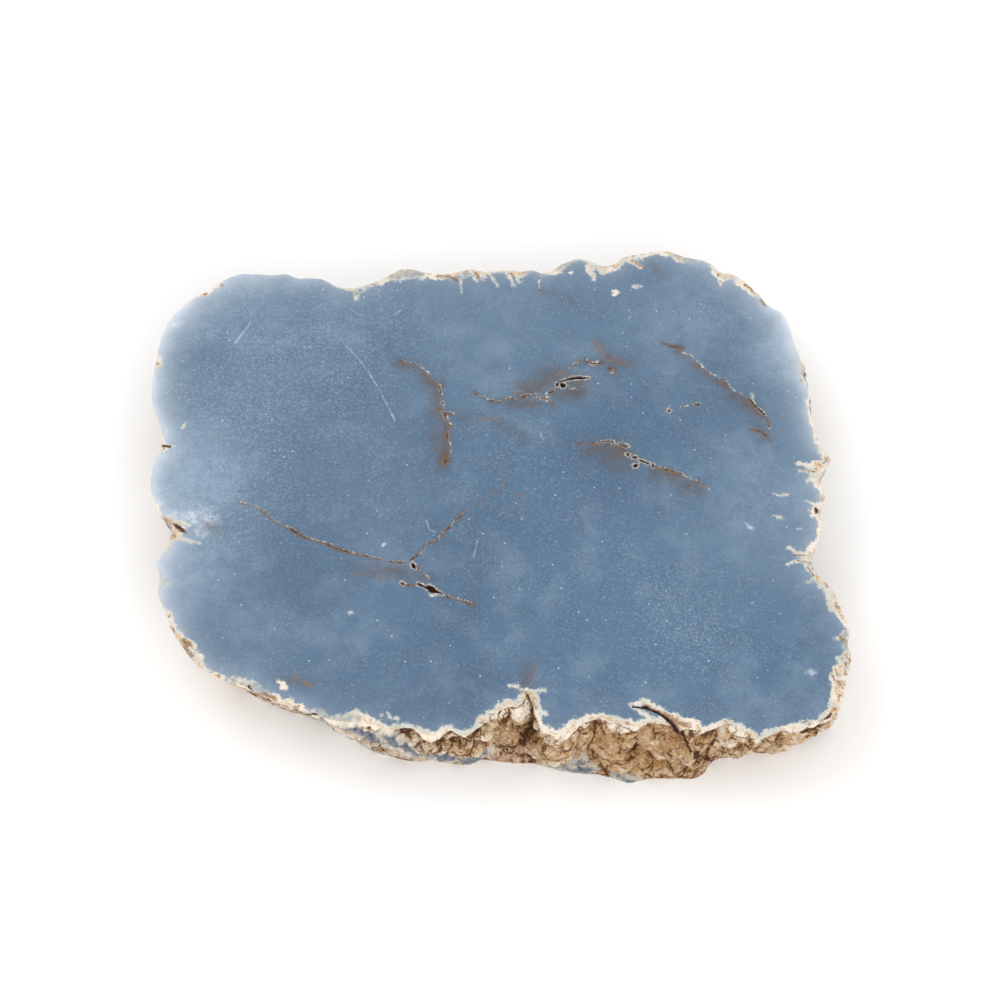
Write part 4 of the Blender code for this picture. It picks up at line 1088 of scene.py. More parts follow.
        corner_low = tuple(outline.min(0))
        corner_high = tuple(outline.max(0))
        chosen = []
        for corners in pits:
            cell = self.scatter(self.pit_pitch, tuple(corners.min(0) - 1.0), tuple(corners.max(0) + 1.0))
            cell = cell[depth_inside(cell, corners) > -self.pit_zone]
            for other in chosen:
                low, high = other.min(0), other.max(0)
                box = np.all((cell > low) & (cell < high), axis=1)
                if box.any():
                    gap = np.array([np.min(np.linalg.norm(other - point, axis=1)) for point in cell[box]])
                    keep = np.ones(len(cell), dtype=bool)
                    keep[np.flatnonzero(box)[gap < 0.8 * self.pit_pitch]] = False
                    cell = cell[keep]
            if len(cell):
                chosen.append(cell)
        veins = self.scatter(self.vein_pitch, corner_low, corner_high)
        veins = veins[near_vein(veins)]
        chosen.append(veins[~near_pit(veins)])
        close = self.scatter(self.rim_pitch, corner_low, corner_high)
        close = close[~near_vein(close)]
        close = close[near_rim(close) < self.rim_zone]
        chosen.append(close[~near_pit(close)])
        wide = self.scatter(self.face_pitch, corner_low, corner_high)
        wide = wide[~near_vein(wide)]
        wide = wide[near_rim(wide) >= self.rim_zone]
        chosen.append(wide[~near_pit(wide)])
        points = np.vstack(chosen)
        points = points[is_inside(points, rim[:, :2])]
        return points[near_rim(points) > 0.55 * self.column_pitch]

    def triangles(self, loop: np.ndarray, inner: np.ndarray) -> list[tuple[int, int, int]]:
        """Joins an outline and the points inside it into triangles.

        Args:
            loop: the outline's points, one row each.
            inner: the points inside it.

        Returns:
            Triples of indices, counted through the outline and then the inner points.
        """
        points = [Vector(point) for point in np.vstack([loop, inner])]
        border = [(index, (index + 1) % len(loop)) for index in range(len(loop))]
        found = delaunay_2d_cdt(points, border, [], 1, 1e-6, True)
        plan = np.array([tuple(vert) for vert in found[0]])
        corners = plan[np.array(found[2])]
        kept = is_inside(corners.mean(axis=1), loop)
        first, second = corners[:, 1] - corners[:, 0], corners[:, 2] - corners[:, 0]
        turns_left = first[:, 0] * second[:, 1] - first[:, 1] * second[:, 0] > 0.0
        faces = []
        for face, inside, is_left in zip(found[2], kept, turns_left):
            if inside:
                triple = [found[3][index][0] for index in face]
                faces.append(tuple(triple if is_left else triple[::-1]))
        return faces

    def face_marks(self, plan: np.ndarray, rim: np.ndarray) -> dict[str, np.ndarray]:
        """Works out the natural marks of the polished face.

        Args:
            plan: the face's points.
            rim: the face's rim, as X, Y and rind width.

        Returns:
            Arrays named cream and seam (both signed millimetres), veil, rust, scratch, clear, cloud, haze,
            hollow, milk and frost.
        """
        closed = np.vstack([rim[::2], rim[:1]])
        edge, place = path_distance(plan, closed[:, :2])
        width = np.interp(place, np.arange(len(closed)), closed[:, 2])
        ragged = noise_at(plan, 1.7, 11.0)
        fine = noise_at(plan, 0.7, 12.0)
        cream = width - 0.05 - edge + (0.8 * ragged + 0.6 * fine) * np.clip(width, 0.0, 1.2)
        layers = {tint: np.zeros(len(plan)) for tint in Tint}
        seam = np.full(len(plan), NOWHERE)
        plain = [(mark, False) for mark in RUSTY_SPOTS + FACE_STAINS + SCRATCHES]
        for mark, is_finger in [(mark, True) for mark in RIND_FINGERS] + plain:
            path = np.array(mark.path)
            off, place = path_distance(plan, path)
            half = mark.half_width
            if is_finger:
                ends = path_distance(path[[0, -1]], closed[:, :2])[0]
                share = place / (len(path) - 1)
                half = half * (1.2 - 0.7 * (1.0 - share if ends[0] > ends[1] else share))
            reach = half * (1.0 + 0.7 * ragged + 0.6 * fine) - off
            if mark.tint is Tint.CREAM:
                cream = np.maximum(cream, reach)
            elif mark.tint is Tint.DARK:
                seam = np.maximum(seam, reach)
            else:
                layers[mark.tint] = np.maximum(layers[mark.tint], soft_step(reach, 2.0 * mark.soft))
        cloud = np.zeros(len(plan))
        for shadow in CLOUDED_PLACES:
            off, _ = path_distance(plan, np.array(shadow.path))
            reach = shadow.half_width * (1.0 + 0.4 * ragged) - off
            cloud = np.maximum(cloud, soft_step(reach, 2.0 * shadow.soft))
        drift = noise_at(plan, 3.5, 14.0)
        for vein in VEINS:
            path = np.array(vein.path)
            off, _ = path_distance(plan, path)
            seam = np.maximum(seam, 0.1 + 0.26 * ragged + 0.26 * drift - off)
            if vein.cream > 0.0:
                beside, _ = path_distance(plan, path + 0.16)
                cream = np.maximum(cream, vein.cream * (2.6 * fine + 1.8 * ragged - 0.3) - beside)
            if vein.halo > 0.0:
                leaned, _ = path_distance(plan, path + np.array(vein.lean))
                reach = vein.halo * (0.7 + 0.9 * drift) - leaned
                cloud = np.maximum(cloud, soft_step(reach, 2.0 * vein.halo))
                glow = 0.4 * soft_step(0.45 * vein.halo - leaned, 1.4 * vein.halo) * (1.0 + drift)
                layers[Tint.RUST] = np.maximum(layers[Tint.RUST], glow)
        # How far into each pit and crack: there the inside is painted dark brown, partly the oxide lining it
        # and partly painted shade of the recess
        hollow = np.zeros(len(plan))
        for opening, inner in self.openings(plan):
            hollow = np.maximum(hollow, opening.dark * soft_step(inner, 0.16))
            if opening.lip > 0.0:
                cream = np.maximum(cream, opening.lip * (1.1 + 1.2 * fine) + np.minimum(inner, 0.0))
                stained = soft_step(inner + opening.lip + 0.4, 0.7) * soft_step(-opening.lip - inner, 0.3)
                layers[Tint.RUST] = np.maximum(layers[Tint.RUST], 0.5 * stained)
        return {
            "cream": np.clip(cream, NOWHERE, 2.0), "seam": np.clip(seam, NOWHERE, 1.0),
            "veil": layers[Tint.VEIL], "rust": layers[Tint.RUST], "scratch": layers[Tint.SCRATCH],
            "clear": layers[Tint.CLEAR], "cloud": cloud, "hollow": hollow,
            # Painted light: a glow along the thin edge, and a sheen over broad places mixed with milky
            # cloudiness
            "painted_edge_glow": np.exp(-edge / self.glow_reach) * self.edge_glow(plan),
            "milk_and_sheen": patches_at(plan, MILKY_AND_SHEEN_PLACES), "frost": patches_at(plan, FROSTY_PLACES),
        }

    @staticmethod
    def edge_glow(plan: np.ndarray) -> np.ndarray:
        """Returns how strongly light shines through the thin edge: most at left and back right."""
        bearing, strength = np.array(EDGE_GLOW).T
        return np.interp(bearings_of(plan), bearing, strength, period=360.0)

    def build(self) -> bpy.types.Object:
        """Builds the stone's mesh with its marks and returns the object."""
        rim = self.rim()
        count = len(rim)
        wall, wall_place, wall_marks = self.wall(rim)
        inner = self.face_plan(rim)
        face_plan = np.vstack([rim[:, :2], inner])
        foot = wall_place[-count:, :2]
        below = self.scatter(self.base_pitch, tuple(foot.min(0)), tuple(foot.max(0)))
        below = below[is_inside(below, foot)]
        below = below[path_distance(below, np.vstack([foot[::3], foot[:1]]))[0] > 1.0]

        inner_points = to_metres(inner, THICKNESS - self.sunk(inner) - self.face_ripple(inner))
        below_points = to_metres(below, np.zeros(len(below)))
        points = np.vstack([wall, inner_points, below_points])
        inner_start = len(wall)
        below_start = inner_start + len(inner)
        foot_start = self.wall_rows * count

        faces: list[tuple[int, ...]] = []
        for triple in self.triangles(rim[:, :2], inner):
            faces.append(tuple(i if i < count else i - count + inner_start for i in triple))
        face_total = len(faces)
        for row in range(self.wall_rows):
            upper = row * count
            lower = upper + count
            for column in range(count):
                following = (column + 1) % count
                faces.append((upper + column, upper + following, lower + following, lower + column))
        wall_total = len(faces)
        for triple in self.triangles(foot, below):
            corners = tuple(i + foot_start if i < count else i - count + below_start for i in triple)
            faces.append(corners[::-1])

        mesh = bpy.data.meshes.new("anhydrite_slab")
        mesh.from_pydata(points.tolist(), [], faces)
        zone = np.full(len(faces), 1, dtype=np.int32)
        zone[:face_total] = 0
        zone[wall_total:] = 2
        mesh.polygons.foreach_set("material_index", zone)
        mesh.polygons.foreach_set("use_smooth", np.ones(len(faces), dtype=bool))
        self.sharpen_rings(mesh, count, foot_start)
        self.write_marks(mesh, rim, face_plan, wall_place, wall_marks, below, count)
        mesh.update()
        stone = bpy.data.objects.new("anhydrite_slab", mesh)
        bpy.context.scene.collection.objects.link(stone)
        LOG.info("anhydrite_slab: %d points, %d faces on the polish, %d in all",
                 len(points), face_total, len(faces))
        return stone

    @staticmethod
    def face_ripple(plan: np.ndarray) -> np.ndarray:
        """Returns the polish's slight waviness, in millimetres: it softens reflections without showing."""
        return 0.006 * (1.0 + noise_at(plan, 9.0, 40.0))

    @staticmethod
    def sharpen_rings(mesh: bpy.types.Mesh, count: int, foot_start: int) -> None:
        """Marks the edge between face and side, and between side and base, as sharp.

        Args:
            mesh: the stone's mesh.
            count: how many points each ring has.
            foot_start: the first point of the lowest ring.
        """
        pairs = np.zeros(len(mesh.edges) * 2, dtype=np.int32)
        mesh.edges.foreach_get("vertices", pairs)
        pairs = pairs.reshape(-1, 2)
        step = np.abs(pairs[:, 0] - pairs[:, 1])
        neighbours = (step == 1) | (step == count - 1)
        top = np.all(pairs < count, axis=1)
        bottom = np.all((pairs >= foot_start) & (pairs < foot_start + count), axis=1)
        sharp = mesh.attributes.new("sharp_edge", "BOOLEAN", "EDGE")
        sharp.data.foreach_set("value", neighbours & (top | bottom))

    def write_marks(
        self, mesh: bpy.types.Mesh, rim: np.ndarray, face_plan: np.ndarray, wall_place: np.ndarray,
        wall_marks: dict[str, np.ndarray], below: np.ndarray, count: int,
    ) -> None:
        """Writes the marks onto the mesh, where the finishes read them.

        Args:
            mesh: the stone's mesh.
            rim: the face's rim.
            face_plan: the plan of the rim and then of the face's inner points.
            wall_place: plan and depth of the side's points.
            wall_marks: the marks of the side's relief.
            below: plan of the base's inner points.
            count: how many points each ring has.
        """
        face = self.face_marks(face_plan, rim)
        # Where an opening sinks the rim, its mouth gets a dark seam: partly the crack's oxide, partly painted
        # shade in the opening
        sunk_rim = np.flatnonzero(self.sunk(rim[:, :2]) > self.mouth_depth)
        face["seam"][sunk_rim] = self.mouth_dark
        plan, depth = wall_place[:, :2], wall_place[:, 2]
        window = self.bare_stone(plan, depth)
        foot = wall_place[-count:, :2]
        base_edge = path_distance(below, np.vstack([foot[::3], foot[:1]]))[0]
        inner_count = len(face_plan) - count
        below_count = len(below)
        none = {"side": np.zeros(len(plan)), "below": np.zeros(below_count)}
        table = {
            "cream": (np.full(len(plan), 2.0), face["cream"][count:], 1.6 - base_edge),
            "window": (window, np.full(inner_count, NOWHERE), np.full(below_count, NOWHERE)),
            "depth": (depth, np.zeros(inner_count), np.full(below_count, THICKNESS)),
            "tone": (wall_marks["tone"], np.full(inner_count, 0.5), np.full(below_count, 0.5)),
            "warm": (wall_marks["warm"], np.full(inner_count, 0.5), np.full(below_count, 0.5)),
            "rust": (wall_marks["rust"], face["rust"][count:], none["below"]),
            "seam": (wall_marks["seam"], face["seam"][count:], np.full(below_count, NOWHERE)),
        }
        for name in ("veil", "scratch", "clear", "cloud", "painted_edge_glow", "hollow", "milk_and_sheen", "frost"):
            table[name] = (none["side"], face[name][count:], none["below"])
        for name, (side, top, bottom) in table.items():
            values = np.concatenate([side, top, bottom])
            if name in face:
                values[:count] = face[name][:count]
            attribute = mesh.attributes.new(name, "FLOAT", "POINT")
            attribute.data.foreach_set("value", values.astype(np.float32))

    def bare_stone(self, plan: np.ndarray, depth: np.ndarray) -> np.ndarray:
        """Returns how far inside a bare place each point of the side lies, in signed millimetres.

        Args:
            plan: the side's points, in plan.
            depth: their depths below the face.

        Returns:
            The signed distances: placed on the front, and scattered by noise elsewhere.
        """
        window = np.full(len(plan), self.no_window)
        front = np.flatnonzero(plan[:, 1] < FRONT_Y)
        place = np.column_stack([plan[front, 0], depth[front]])
        for bare in BLUE_WINDOWS:
            off = path_distance(place, np.array(bare.path))[0]
            window[front] = np.maximum(window[front], bare.half_width - off)
        scattered = noise_at(np.column_stack([plan, -depth]), 11.0, 60.0)
        elsewhere = 3.0 * (scattered - 0.42) * np.clip((depth - 3.0) / 4.0, 0.0, 1.0) - 0.2
        away = np.clip((plan[:, 1] + 34.0) / 12.0, 0.0, 1.0)
        return np.maximum(window, elsewhere * away + self.no_window * (1.0 - away))


def add_node(
    tree: bpy.types.NodeTree, kind: str, settings: dict | None = None, inputs: dict | None = None,
) -> bpy.types.Node:
    """Adds one node, sets it and links it.

    Args:
        tree: the material's node tree.
        kind: the node's type name.
        settings: values for the node's own properties.
        inputs: for each input, by name or number, a value or the output socket that feeds it.

    Returns:
        The new node.
    """
    node = tree.nodes.new(kind)
    for name, value in (settings or {}).items():
        setattr(node, name, value)
    for name, value in (inputs or {}).items():
        if isinstance(value, bpy.types.NodeSocket):
            tree.links.new(value, node.inputs[name])
        else:
            node.inputs[name].default_value = value
    return node


class StoneNodes:
    """The patterns that the stone's three finishes share, built into one material."""

    def __init__(self, name: str) -> None:
        """Starts a material with an empty tree and the stone's own coordinates.

        Args:
            name: the material's name.
        """
        self.material = bpy.data.materials.new(name)
        self.material.use_nodes = True
        self.tree = self.material.node_tree
        self.tree.nodes.clear()
        self.place = add_node(self.tree, "ShaderNodeTexCoord").outputs["Object"]

    def mark(self, name: str) -> bpy.types.NodeSocket:
        """Returns one of the mesh's marks."""
        return add_node(self.tree, "ShaderNodeAttribute", {"attribute_name": name}).outputs["Fac"]

    def grain(self, size: float, detail: float = 2.0, roughness: float = 0.5) -> bpy.types.NodeSocket:
        """Returns noise from 0 to 1 whose features are size millimetres apart."""
        return add_node(self.tree, "ShaderNodeTexNoise", None, {
            "Vector": self.place, "Scale": per_mm(size), "Detail": detail, "Roughness": roughness,
        }).outputs["Fac"]

    def ramp(
        self, value: bpy.types.NodeSocket, low: float, high: float, start: float = 0.0, end: float = 1.0,
    ) -> bpy.types.NodeSocket:
        """Maps low to high onto start to end, with a smooth step and no overshoot."""
        return add_node(self.tree, "ShaderNodeMapRange", {"interpolation_type": "SMOOTHSTEP"}, {
            "Value": value, "From Min": low, "From Max": high, "To Min": start, "To Max": end,
        }).outputs["Result"]

    def sum(self, operation: str, *values: object) -> bpy.types.NodeSocket:
        """Returns the named sum of two or three values or sockets."""
        node = add_node(self.tree, "ShaderNodeMath", {"operation": operation}, dict(enumerate(values)))
        return node.outputs[0]

    def blend(self, amount: object, first: object, second: object) -> bpy.types.NodeSocket:
        """Mixes two colours, each given as a hex string or a socket."""
        colours = [linear(item) if isinstance(item, str) else item for item in (first, second)]
        return add_node(self.tree, "ShaderNodeMix", {"data_type": "RGBA"}, {
            0: amount, 6: colours[0], 7: colours[1],
        }).outputs[2]

    def finish(
        self, colour: bpy.types.NodeSocket, roughness: bpy.types.NodeSocket, height: bpy.types.NodeSocket,
        settings: dict,
    ) -> bpy.types.Material:
        """Adds the surface shader and returns the material.

        Args:
            colour: the base colour.
            roughness: the roughness.
            height: the bump's height, in millimetres.
            settings: values for the shader's own sockets.

        Returns:
            The finished material.
        """
        bump = add_node(self.tree, "ShaderNodeBump", None, {
            "Strength": 1.0, "Distance": MM, "Height": height,
        })
        shader = add_node(self.tree, "ShaderNodeBsdfPrincipled", None, {
            "Base Color": colour, "Roughness": roughness, "Normal": bump.outputs["Normal"], **settings,
        })
        add_node(self.tree, "ShaderNodeOutputMaterial", None, {"Surface": shader.outputs["BSDF"]})
        return self.material


@dataclass(frozen=True)
class RindColours:
    """Hydrated gypsum and iron oxide: the chalky cream skin of the nodule with rust in its creases."""

    chalk: str = "#f2e8d8"
    cream: str = "#dcc6a2"
    tan: str = "#b28b5c"
    grey: str = "#ccc6ba"
    ochre: str = "#9b7139"
    rust: str = "#86501f"
    umber: str = "#3a1a08"
    spread: float = 0.24

    def lay(self, nodes: StoneNodes) -> bpy.types.NodeSocket:
        """Builds the rind's own colour.

        Args:
            nodes: the material's patterns.

        Returns:
            The rind's colour, before rust and dark clefts.
        """
        body = nodes.blend(nodes.ramp(nodes.grain(2.8, 5.0, 0.7), 0.38, 0.62), self.cream, self.tan)
        pale = nodes.ramp(nodes.grain(1.3, 5.0, 0.75), 0.46, 0.6)
        return nodes.blend(nodes.sum("MULTIPLY", pale, 0.7), body, self.chalk)

    def stain(self, nodes: StoneNodes, colour: bpy.types.NodeSocket, strength: float) -> bpy.types.NodeSocket:
        """Lays rust, and near-black oxide in the deepest creases, over a colour.

        Args:
            nodes: the material's patterns.
            colour: the colour below.
            strength: how fully the rust hides the colour below.

        Returns:
            The stained colour.
        """
        speckle = nodes.grain(0.55, 3.0, 0.65)
        soaked = nodes.sum("ADD", nodes.mark("rust"), nodes.ramp(speckle, 0.25, 0.75, -0.32, 0.32))
        line = nodes.sum("ADD", nodes.mark("seam"), nodes.ramp(speckle, 0.25, 0.75, -0.17, 0.17))
        iron = nodes.blend(nodes.ramp(nodes.grain(1.6, 3.0), 0.3, 0.56), self.rust, self.ochre)
        rust = nodes.sum("MAXIMUM", nodes.ramp(soaked, 0.15, 1.0, 0.0, strength),
                         nodes.ramp(line, -self.spread, 0.0, 0.0, strength))
        rusted = nodes.blend(rust, colour, iron)
        return nodes.blend(nodes.ramp(line, -0.06, 0.14, 0.0, 0.92), rusted, self.umber)


@dataclass(frozen=True)
class PolishedFace:
    """Massive blue anhydrite, sawn and hand polished: a waxy sheen over cloudy blue with white grains."""

    blue: str = "#405e7a"
    pale_blue: str = "#51708b"
    deep_blue: str = "#395470"
    # Milky pale blue: the stone's cloudy wisps, and also the painted sheen where the polish reflects the
    # lights
    milk_and_sheen: str = "#9aafc3"
    # Near white: the milky veils, and also the painted glow of light shining through the thin edge
    glow: str = "#dae1ea"
    frost: str = "#b4c8d9"
    fringe: str = "#aab8bf"
    cloud: str = "#523f2c"
    clear: str = "#979da1"
    ior: float = 1.57
    polish: float = 0.34
    chalk_roughness: float = 0.72

    def make(self) -> bpy.types.Material:
        """Builds the material."""
        nodes = StoneNodes("anhydrite_sawn_and_polished")
        rind = RindColours(chalk="#e8ddd0", cream="#dac5a6", tan="#b88f62", grey="#c2c5be", rust="#743a1d",
                           ochre="#8c6838", umber="#260b04", spread=0.16)
        cloudy = nodes.grain(5.0, 5.0, 0.62)
        crystal = nodes.grain(0.9, 3.0, 0.7)
        colour = self.blue_body(nodes, cloudy, crystal)
        colour = nodes.blend(self.frost_amount(nodes), colour, self.frost)
        veil = nodes.sum("MULTIPLY", nodes.mark("veil"),
                         nodes.ramp(nodes.grain(1.1, 4.0, 0.7), 0.3, 0.7, 0.1, 0.75))
        colour = nodes.blend(veil, colour, self.glow)
        cloud = nodes.sum("MULTIPLY", nodes.mark("cloud"), nodes.ramp(cloudy, 0.25, 0.75, 0.4, 0.95))
        colour = nodes.blend(cloud, colour, self.cloud)
        edge_noise = nodes.ramp(nodes.grain(0.6, 5.0, 0.75), 0.2, 0.8, -0.45, 0.45)
        cream = nodes.sum("ADD", nodes.mark("cream"), edge_noise)
        colour = nodes.blend(nodes.ramp(cream, -0.4, 0.15, 0.0, 0.45), colour, self.fringe)
        cream_amount = nodes.ramp(cream, -0.18, 0.34)
        clear = nodes.sum("MULTIPLY", nodes.mark("clear"),
                          nodes.ramp(nodes.grain(1.3, 4.0, 0.7), 0.35, 0.6, 0.2, 1.0))
        cut = nodes.blend(clear, self.cut_rind(nodes, rind, cream), self.clear)
        colour = nodes.blend(cream_amount, colour, cut)
        colour = rind.stain(nodes, colour, 0.85)
        hollow = nodes.mark("hollow")
        # Inside the pits and cracks: rust and near-black umber, partly oxide and partly painted shade of the
        # recess
        inside = nodes.blend(nodes.ramp(crystal, 0.45, 0.7, 0.05, 0.8), rind.umber, rind.rust)
        colour = nodes.blend(hollow, colour, inside)
        rough = nodes.ramp(crystal, 0.3, 0.8, self.polish - 0.05, self.polish + 0.08)
        chalk = nodes.sum("MAXIMUM", cream_amount, hollow)
        dull = nodes.sum("MULTIPLY", chalk, self.chalk_roughness - self.polish)
        height = nodes.sum("ADD", nodes.sum("MULTIPLY", crystal, 0.012),
                           nodes.sum("MULTIPLY", nodes.sum("MULTIPLY", cream_amount, crystal), 0.12))
        return nodes.finish(colour, nodes.sum("ADD", rough, dull), height, {
            "IOR": self.ior, "Subsurface Weight": 0.1, "Subsurface Radius": (0.7, 0.85, 1.0),
            "Subsurface Scale": 3.0 * MM,
        })

    def blue_body(
        self, nodes: StoneNodes, cloudy: bpy.types.NodeSocket, crystal: bpy.types.NodeSocket,
    ) -> bpy.types.NodeSocket:
        """Builds the blue of the stone itself.

        Args:
            nodes: the material's patterns.
            cloudy: noise a few millimetres across.
            crystal: noise about as fine as the stone's grains.

        Returns:
            The blue, with its milky cloudiness, a painted sheen and the painted glow of the light that shines
            through the thin edge.
        """
        drift = nodes.grain(34.0, 2.0, 0.5)
        colour = nodes.blend(nodes.ramp(drift, 0.38, 0.62, 0.0, 0.6), self.blue, self.pale_blue)
        wisps = nodes.ramp(nodes.grain(11.0, 5.0, 0.65), 0.45, 0.72, 0.0, 0.22)
        colour = nodes.blend(wisps, colour, self.milk_and_sheen)
        colour = nodes.blend(nodes.ramp(cloudy, 0.45, 0.7, 0.0, 0.4), colour, self.deep_blue)
        colour = nodes.blend(nodes.ramp(crystal, 0.45, 0.75, 0.0, 0.5), colour, self.pale_blue)
        # Painted sheen, a pale wash where the polish reflects the lights, mixed with the stone's milky
        # cloudiness
        milk_and_sheen = nodes.sum("MULTIPLY", nodes.mark("milk_and_sheen"),
                         nodes.ramp(nodes.grain(2.4, 5.0, 0.7), 0.3, 0.7, 0.45, 0.95))
        colour = nodes.blend(milk_and_sheen, colour, self.milk_and_sheen)
        # Painted glow: the thin edge is lightened as if light shone through it
        glow = nodes.sum("MULTIPLY", nodes.mark("painted_edge_glow"), nodes.ramp(cloudy, 0.2, 0.8, 0.7, 1.1))
        return nodes.blend(glow, colour, self.glow)

    @staticmethod
    def frost_amount(nodes: StoneNodes) -> bpy.types.NodeSocket:
        """Returns where white grains, rubs and scratches show: 0.1 mm grains are drawn 0.3 mm to be seen."""
        frost = nodes.mark("frost")
        sparse = add_node(nodes.tree, "ShaderNodeTexVoronoi", {"feature": "F1"}, {
            "Vector": nodes.place, "Scale": per_mm(1.9), "Randomness": 1.0,
        })
        flock = nodes.ramp(nodes.grain(5.0, 3.0, 0.6), 0.3, 0.7, -0.03, 0.03)
        here = nodes.sum("MULTIPLY_ADD", frost, 0.09, flock)
        few = nodes.ramp(nodes.sum("ADD", here, sparse.outputs["Color"]), 0.65, 0.78)
        speck = nodes.sum("MULTIPLY", nodes.ramp(sparse.outputs["Distance"], 0.13, 0.05), few)
        dust = nodes.ramp(nodes.sum("ADD", here, nodes.grain(0.55, 4.0, 0.75)), 0.5, 0.86, 0.0, 0.42)
        rub = nodes.ramp(nodes.sum("ADD", here, nodes.grain(1.3, 6.0, 0.85)), 0.66, 0.84, 0.0, 0.4)
        white = nodes.sum("MAXIMUM", nodes.sum("MAXIMUM", speck, dust), rub)
        scratch = nodes.sum("MULTIPLY", nodes.mark("scratch"),
                            nodes.ramp(nodes.grain(1.2), 0.3, 0.6, 0.25, 0.8))
        return nodes.sum("MAXIMUM", white, scratch)

    @staticmethod
    def cut_rind(nodes: StoneNodes, rind: RindColours, cream: bpy.types.NodeSocket) -> bpy.types.NodeSocket:
        """Returns the colour of the sawn rind: white inside, tan and veined with rust outside."""
        outer = nodes.ramp(cream, 0.3, 1.3)
        warm = nodes.blend(nodes.ramp(nodes.grain(1.2, 5.0, 0.75), 0.42, 0.64), rind.cream, rind.tan)
        white = nodes.blend(nodes.ramp(nodes.grain(9.0, 3.0, 0.6), 0.4, 0.6), rind.chalk, rind.grey)
        body = nodes.blend(nodes.sum("MULTIPLY", outer, nodes.ramp(nodes.grain(1.6, 4.0, 0.7), 0.38, 0.62)),
                           white, warm)
        seams = add_node(nodes.tree, "ShaderNodeTexVoronoi", {"feature": "DISTANCE_TO_EDGE"}, {
            "Vector": nodes.place, "Scale": per_mm(2.1), "Randomness": 1.0,
        }).outputs["Distance"]
        here = nodes.ramp(nodes.grain(1.7, 3.0, 0.6), 0.48, 0.6)
        seam = nodes.sum("MULTIPLY", nodes.ramp(seams, 0.09, 0.0), nodes.sum("MULTIPLY", outer, here))
        return nodes.blend(nodes.sum("MULTIPLY", seam, 0.8), body, rind.rust)


@dataclass(frozen=True)
class NaturalRind:
    """The nodule's own skin, neither cut nor polished: chalky lumps with rust and umber in every crease."""

    blue_grey: str = "#808895"
    blue_dark: str = "#545c6e"
    scab: str = "#9a5a2e"
    roughness: float = 0.86
    ior: float = 1.52

    def make(self) -> bpy.types.Material:
        """Builds the material."""
        nodes = StoneNodes("gypsum_rind_natural")
        rind = RindColours()
        warm, tone, depth = nodes.mark("warm"), nodes.mark("tone"), nodes.mark("depth")
        body = rind.lay(nodes)
        tanned = nodes.ramp(nodes.sum("MULTIPLY_ADD", tone, 0.6, warm), 0.6, 1.4, 0.0, 0.7)
        body = nodes.blend(tanned, body, rind.tan)
        body = nodes.blend(nodes.ramp(warm, 0.5, 0.05, 0.0, 0.75), body, rind.grey)
        body = nodes.blend(nodes.ramp(tone, 0.34, 0.0, 0.0, 0.75), body, rind.chalk)
        foot = nodes.sum("MULTIPLY", nodes.ramp(depth, 8.0, 17.0, 0.0, 0.7), nodes.ramp(warm, 0.75, 0.3))
        body = nodes.blend(foot, body, rind.grey)
        body = nodes.blend(nodes.ramp(depth, 2.0, 0.5, 0.0, 0.85), body, rind.chalk)
        ragged = nodes.ramp(nodes.grain(1.9, 5.0, 0.75), 0.2, 0.8, -1.4, 1.4)
        window = nodes.sum("ADD", nodes.mark("window"), ragged)
        bare = nodes.blend(nodes.ramp(nodes.grain(1.2, 3.0, 0.6), 0.4, 0.62), self.blue_grey, self.blue_dark)
        mottle = nodes.sum("MULTIPLY", nodes.ramp(nodes.grain(1.6, 5.0, 0.7), 0.5, 0.7),
                           nodes.ramp(warm, 0.0, 0.7, 0.2, 0.62))
        body = nodes.blend(mottle, body, rind.ochre)
        scabs = nodes.sum("MULTIPLY", nodes.ramp(nodes.grain(1.15, 4.0, 0.65), 0.57, 0.66),
                          nodes.ramp(warm, 0.3, 0.8, 0.0, 0.7))
        body = nodes.blend(scabs, body, self.scab)
        stained = rind.stain(nodes, body, 0.78)
        net = self.crease_net(nodes)
        seam = nodes.sum("MULTIPLY", net, nodes.sum("MULTIPLY_ADD", nodes.mark("rust"), 0.8, 0.6))
        stained = nodes.blend(nodes.ramp(seam, 0.15, 0.6, 0.0, 0.7), stained, rind.rust)
        stained = nodes.blend(nodes.ramp(seam, 0.5, 0.9, 0.0, 0.85), stained, rind.umber)
        stained = nodes.blend(nodes.ramp(window, -1.7, -0.3, 0.0, 0.75), stained, rind.grey)
        colour = nodes.blend(nodes.ramp(window, -0.35, 0.8, 0.0, 0.92), stained, bare)
        rough = nodes.ramp(nodes.grain(1.0, 2.0), 0.3, 0.7, self.roughness - 0.08, self.roughness + 0.06)
        height = nodes.sum("SUBTRACT", nodes.sum("MULTIPLY", nodes.grain(0.7, 5.0, 0.7), 0.4),
                           nodes.sum("MULTIPLY", net, 0.25))
        return nodes.finish(colour, rough, height, {
            "IOR": self.ior, "Specular IOR Level": 0.35,
        })

    @staticmethod
    def crease_net(nodes: StoneNodes) -> bpy.types.NodeSocket:
        """Returns thin crooked seams between the rind's smaller lumps, from 0 to 1 in their middle."""
        bend = add_node(nodes.tree, "ShaderNodeTexNoise", None, {
            "Vector": nodes.place, "Scale": per_mm(2.6), "Detail": 4.0, "Roughness": 0.6,
        }).outputs["Color"]
        crooked = add_node(nodes.tree, "ShaderNodeMix", {"data_type": "VECTOR"}, {
            0: 0.0034, 4: nodes.place, 5: bend,
        }).outputs[1]
        seams = []
        for size, width in ((3.8, 0.09), (1.9, 0.12)):
            edge = add_node(nodes.tree, "ShaderNodeTexVoronoi", {"feature": "DISTANCE_TO_EDGE"}, {
                "Vector": crooked, "Scale": per_mm(size), "Randomness": 1.0,
            }).outputs["Distance"]
            here = nodes.ramp(nodes.grain(size * 1.3, 2.0), 0.4, 0.6)
            seams.append(nodes.sum("MULTIPLY", nodes.ramp(edge, width, 0.0), here))
        return nodes.sum("MAXIMUM", seams[0], nodes.sum("MULTIPLY", seams[1], 0.5))


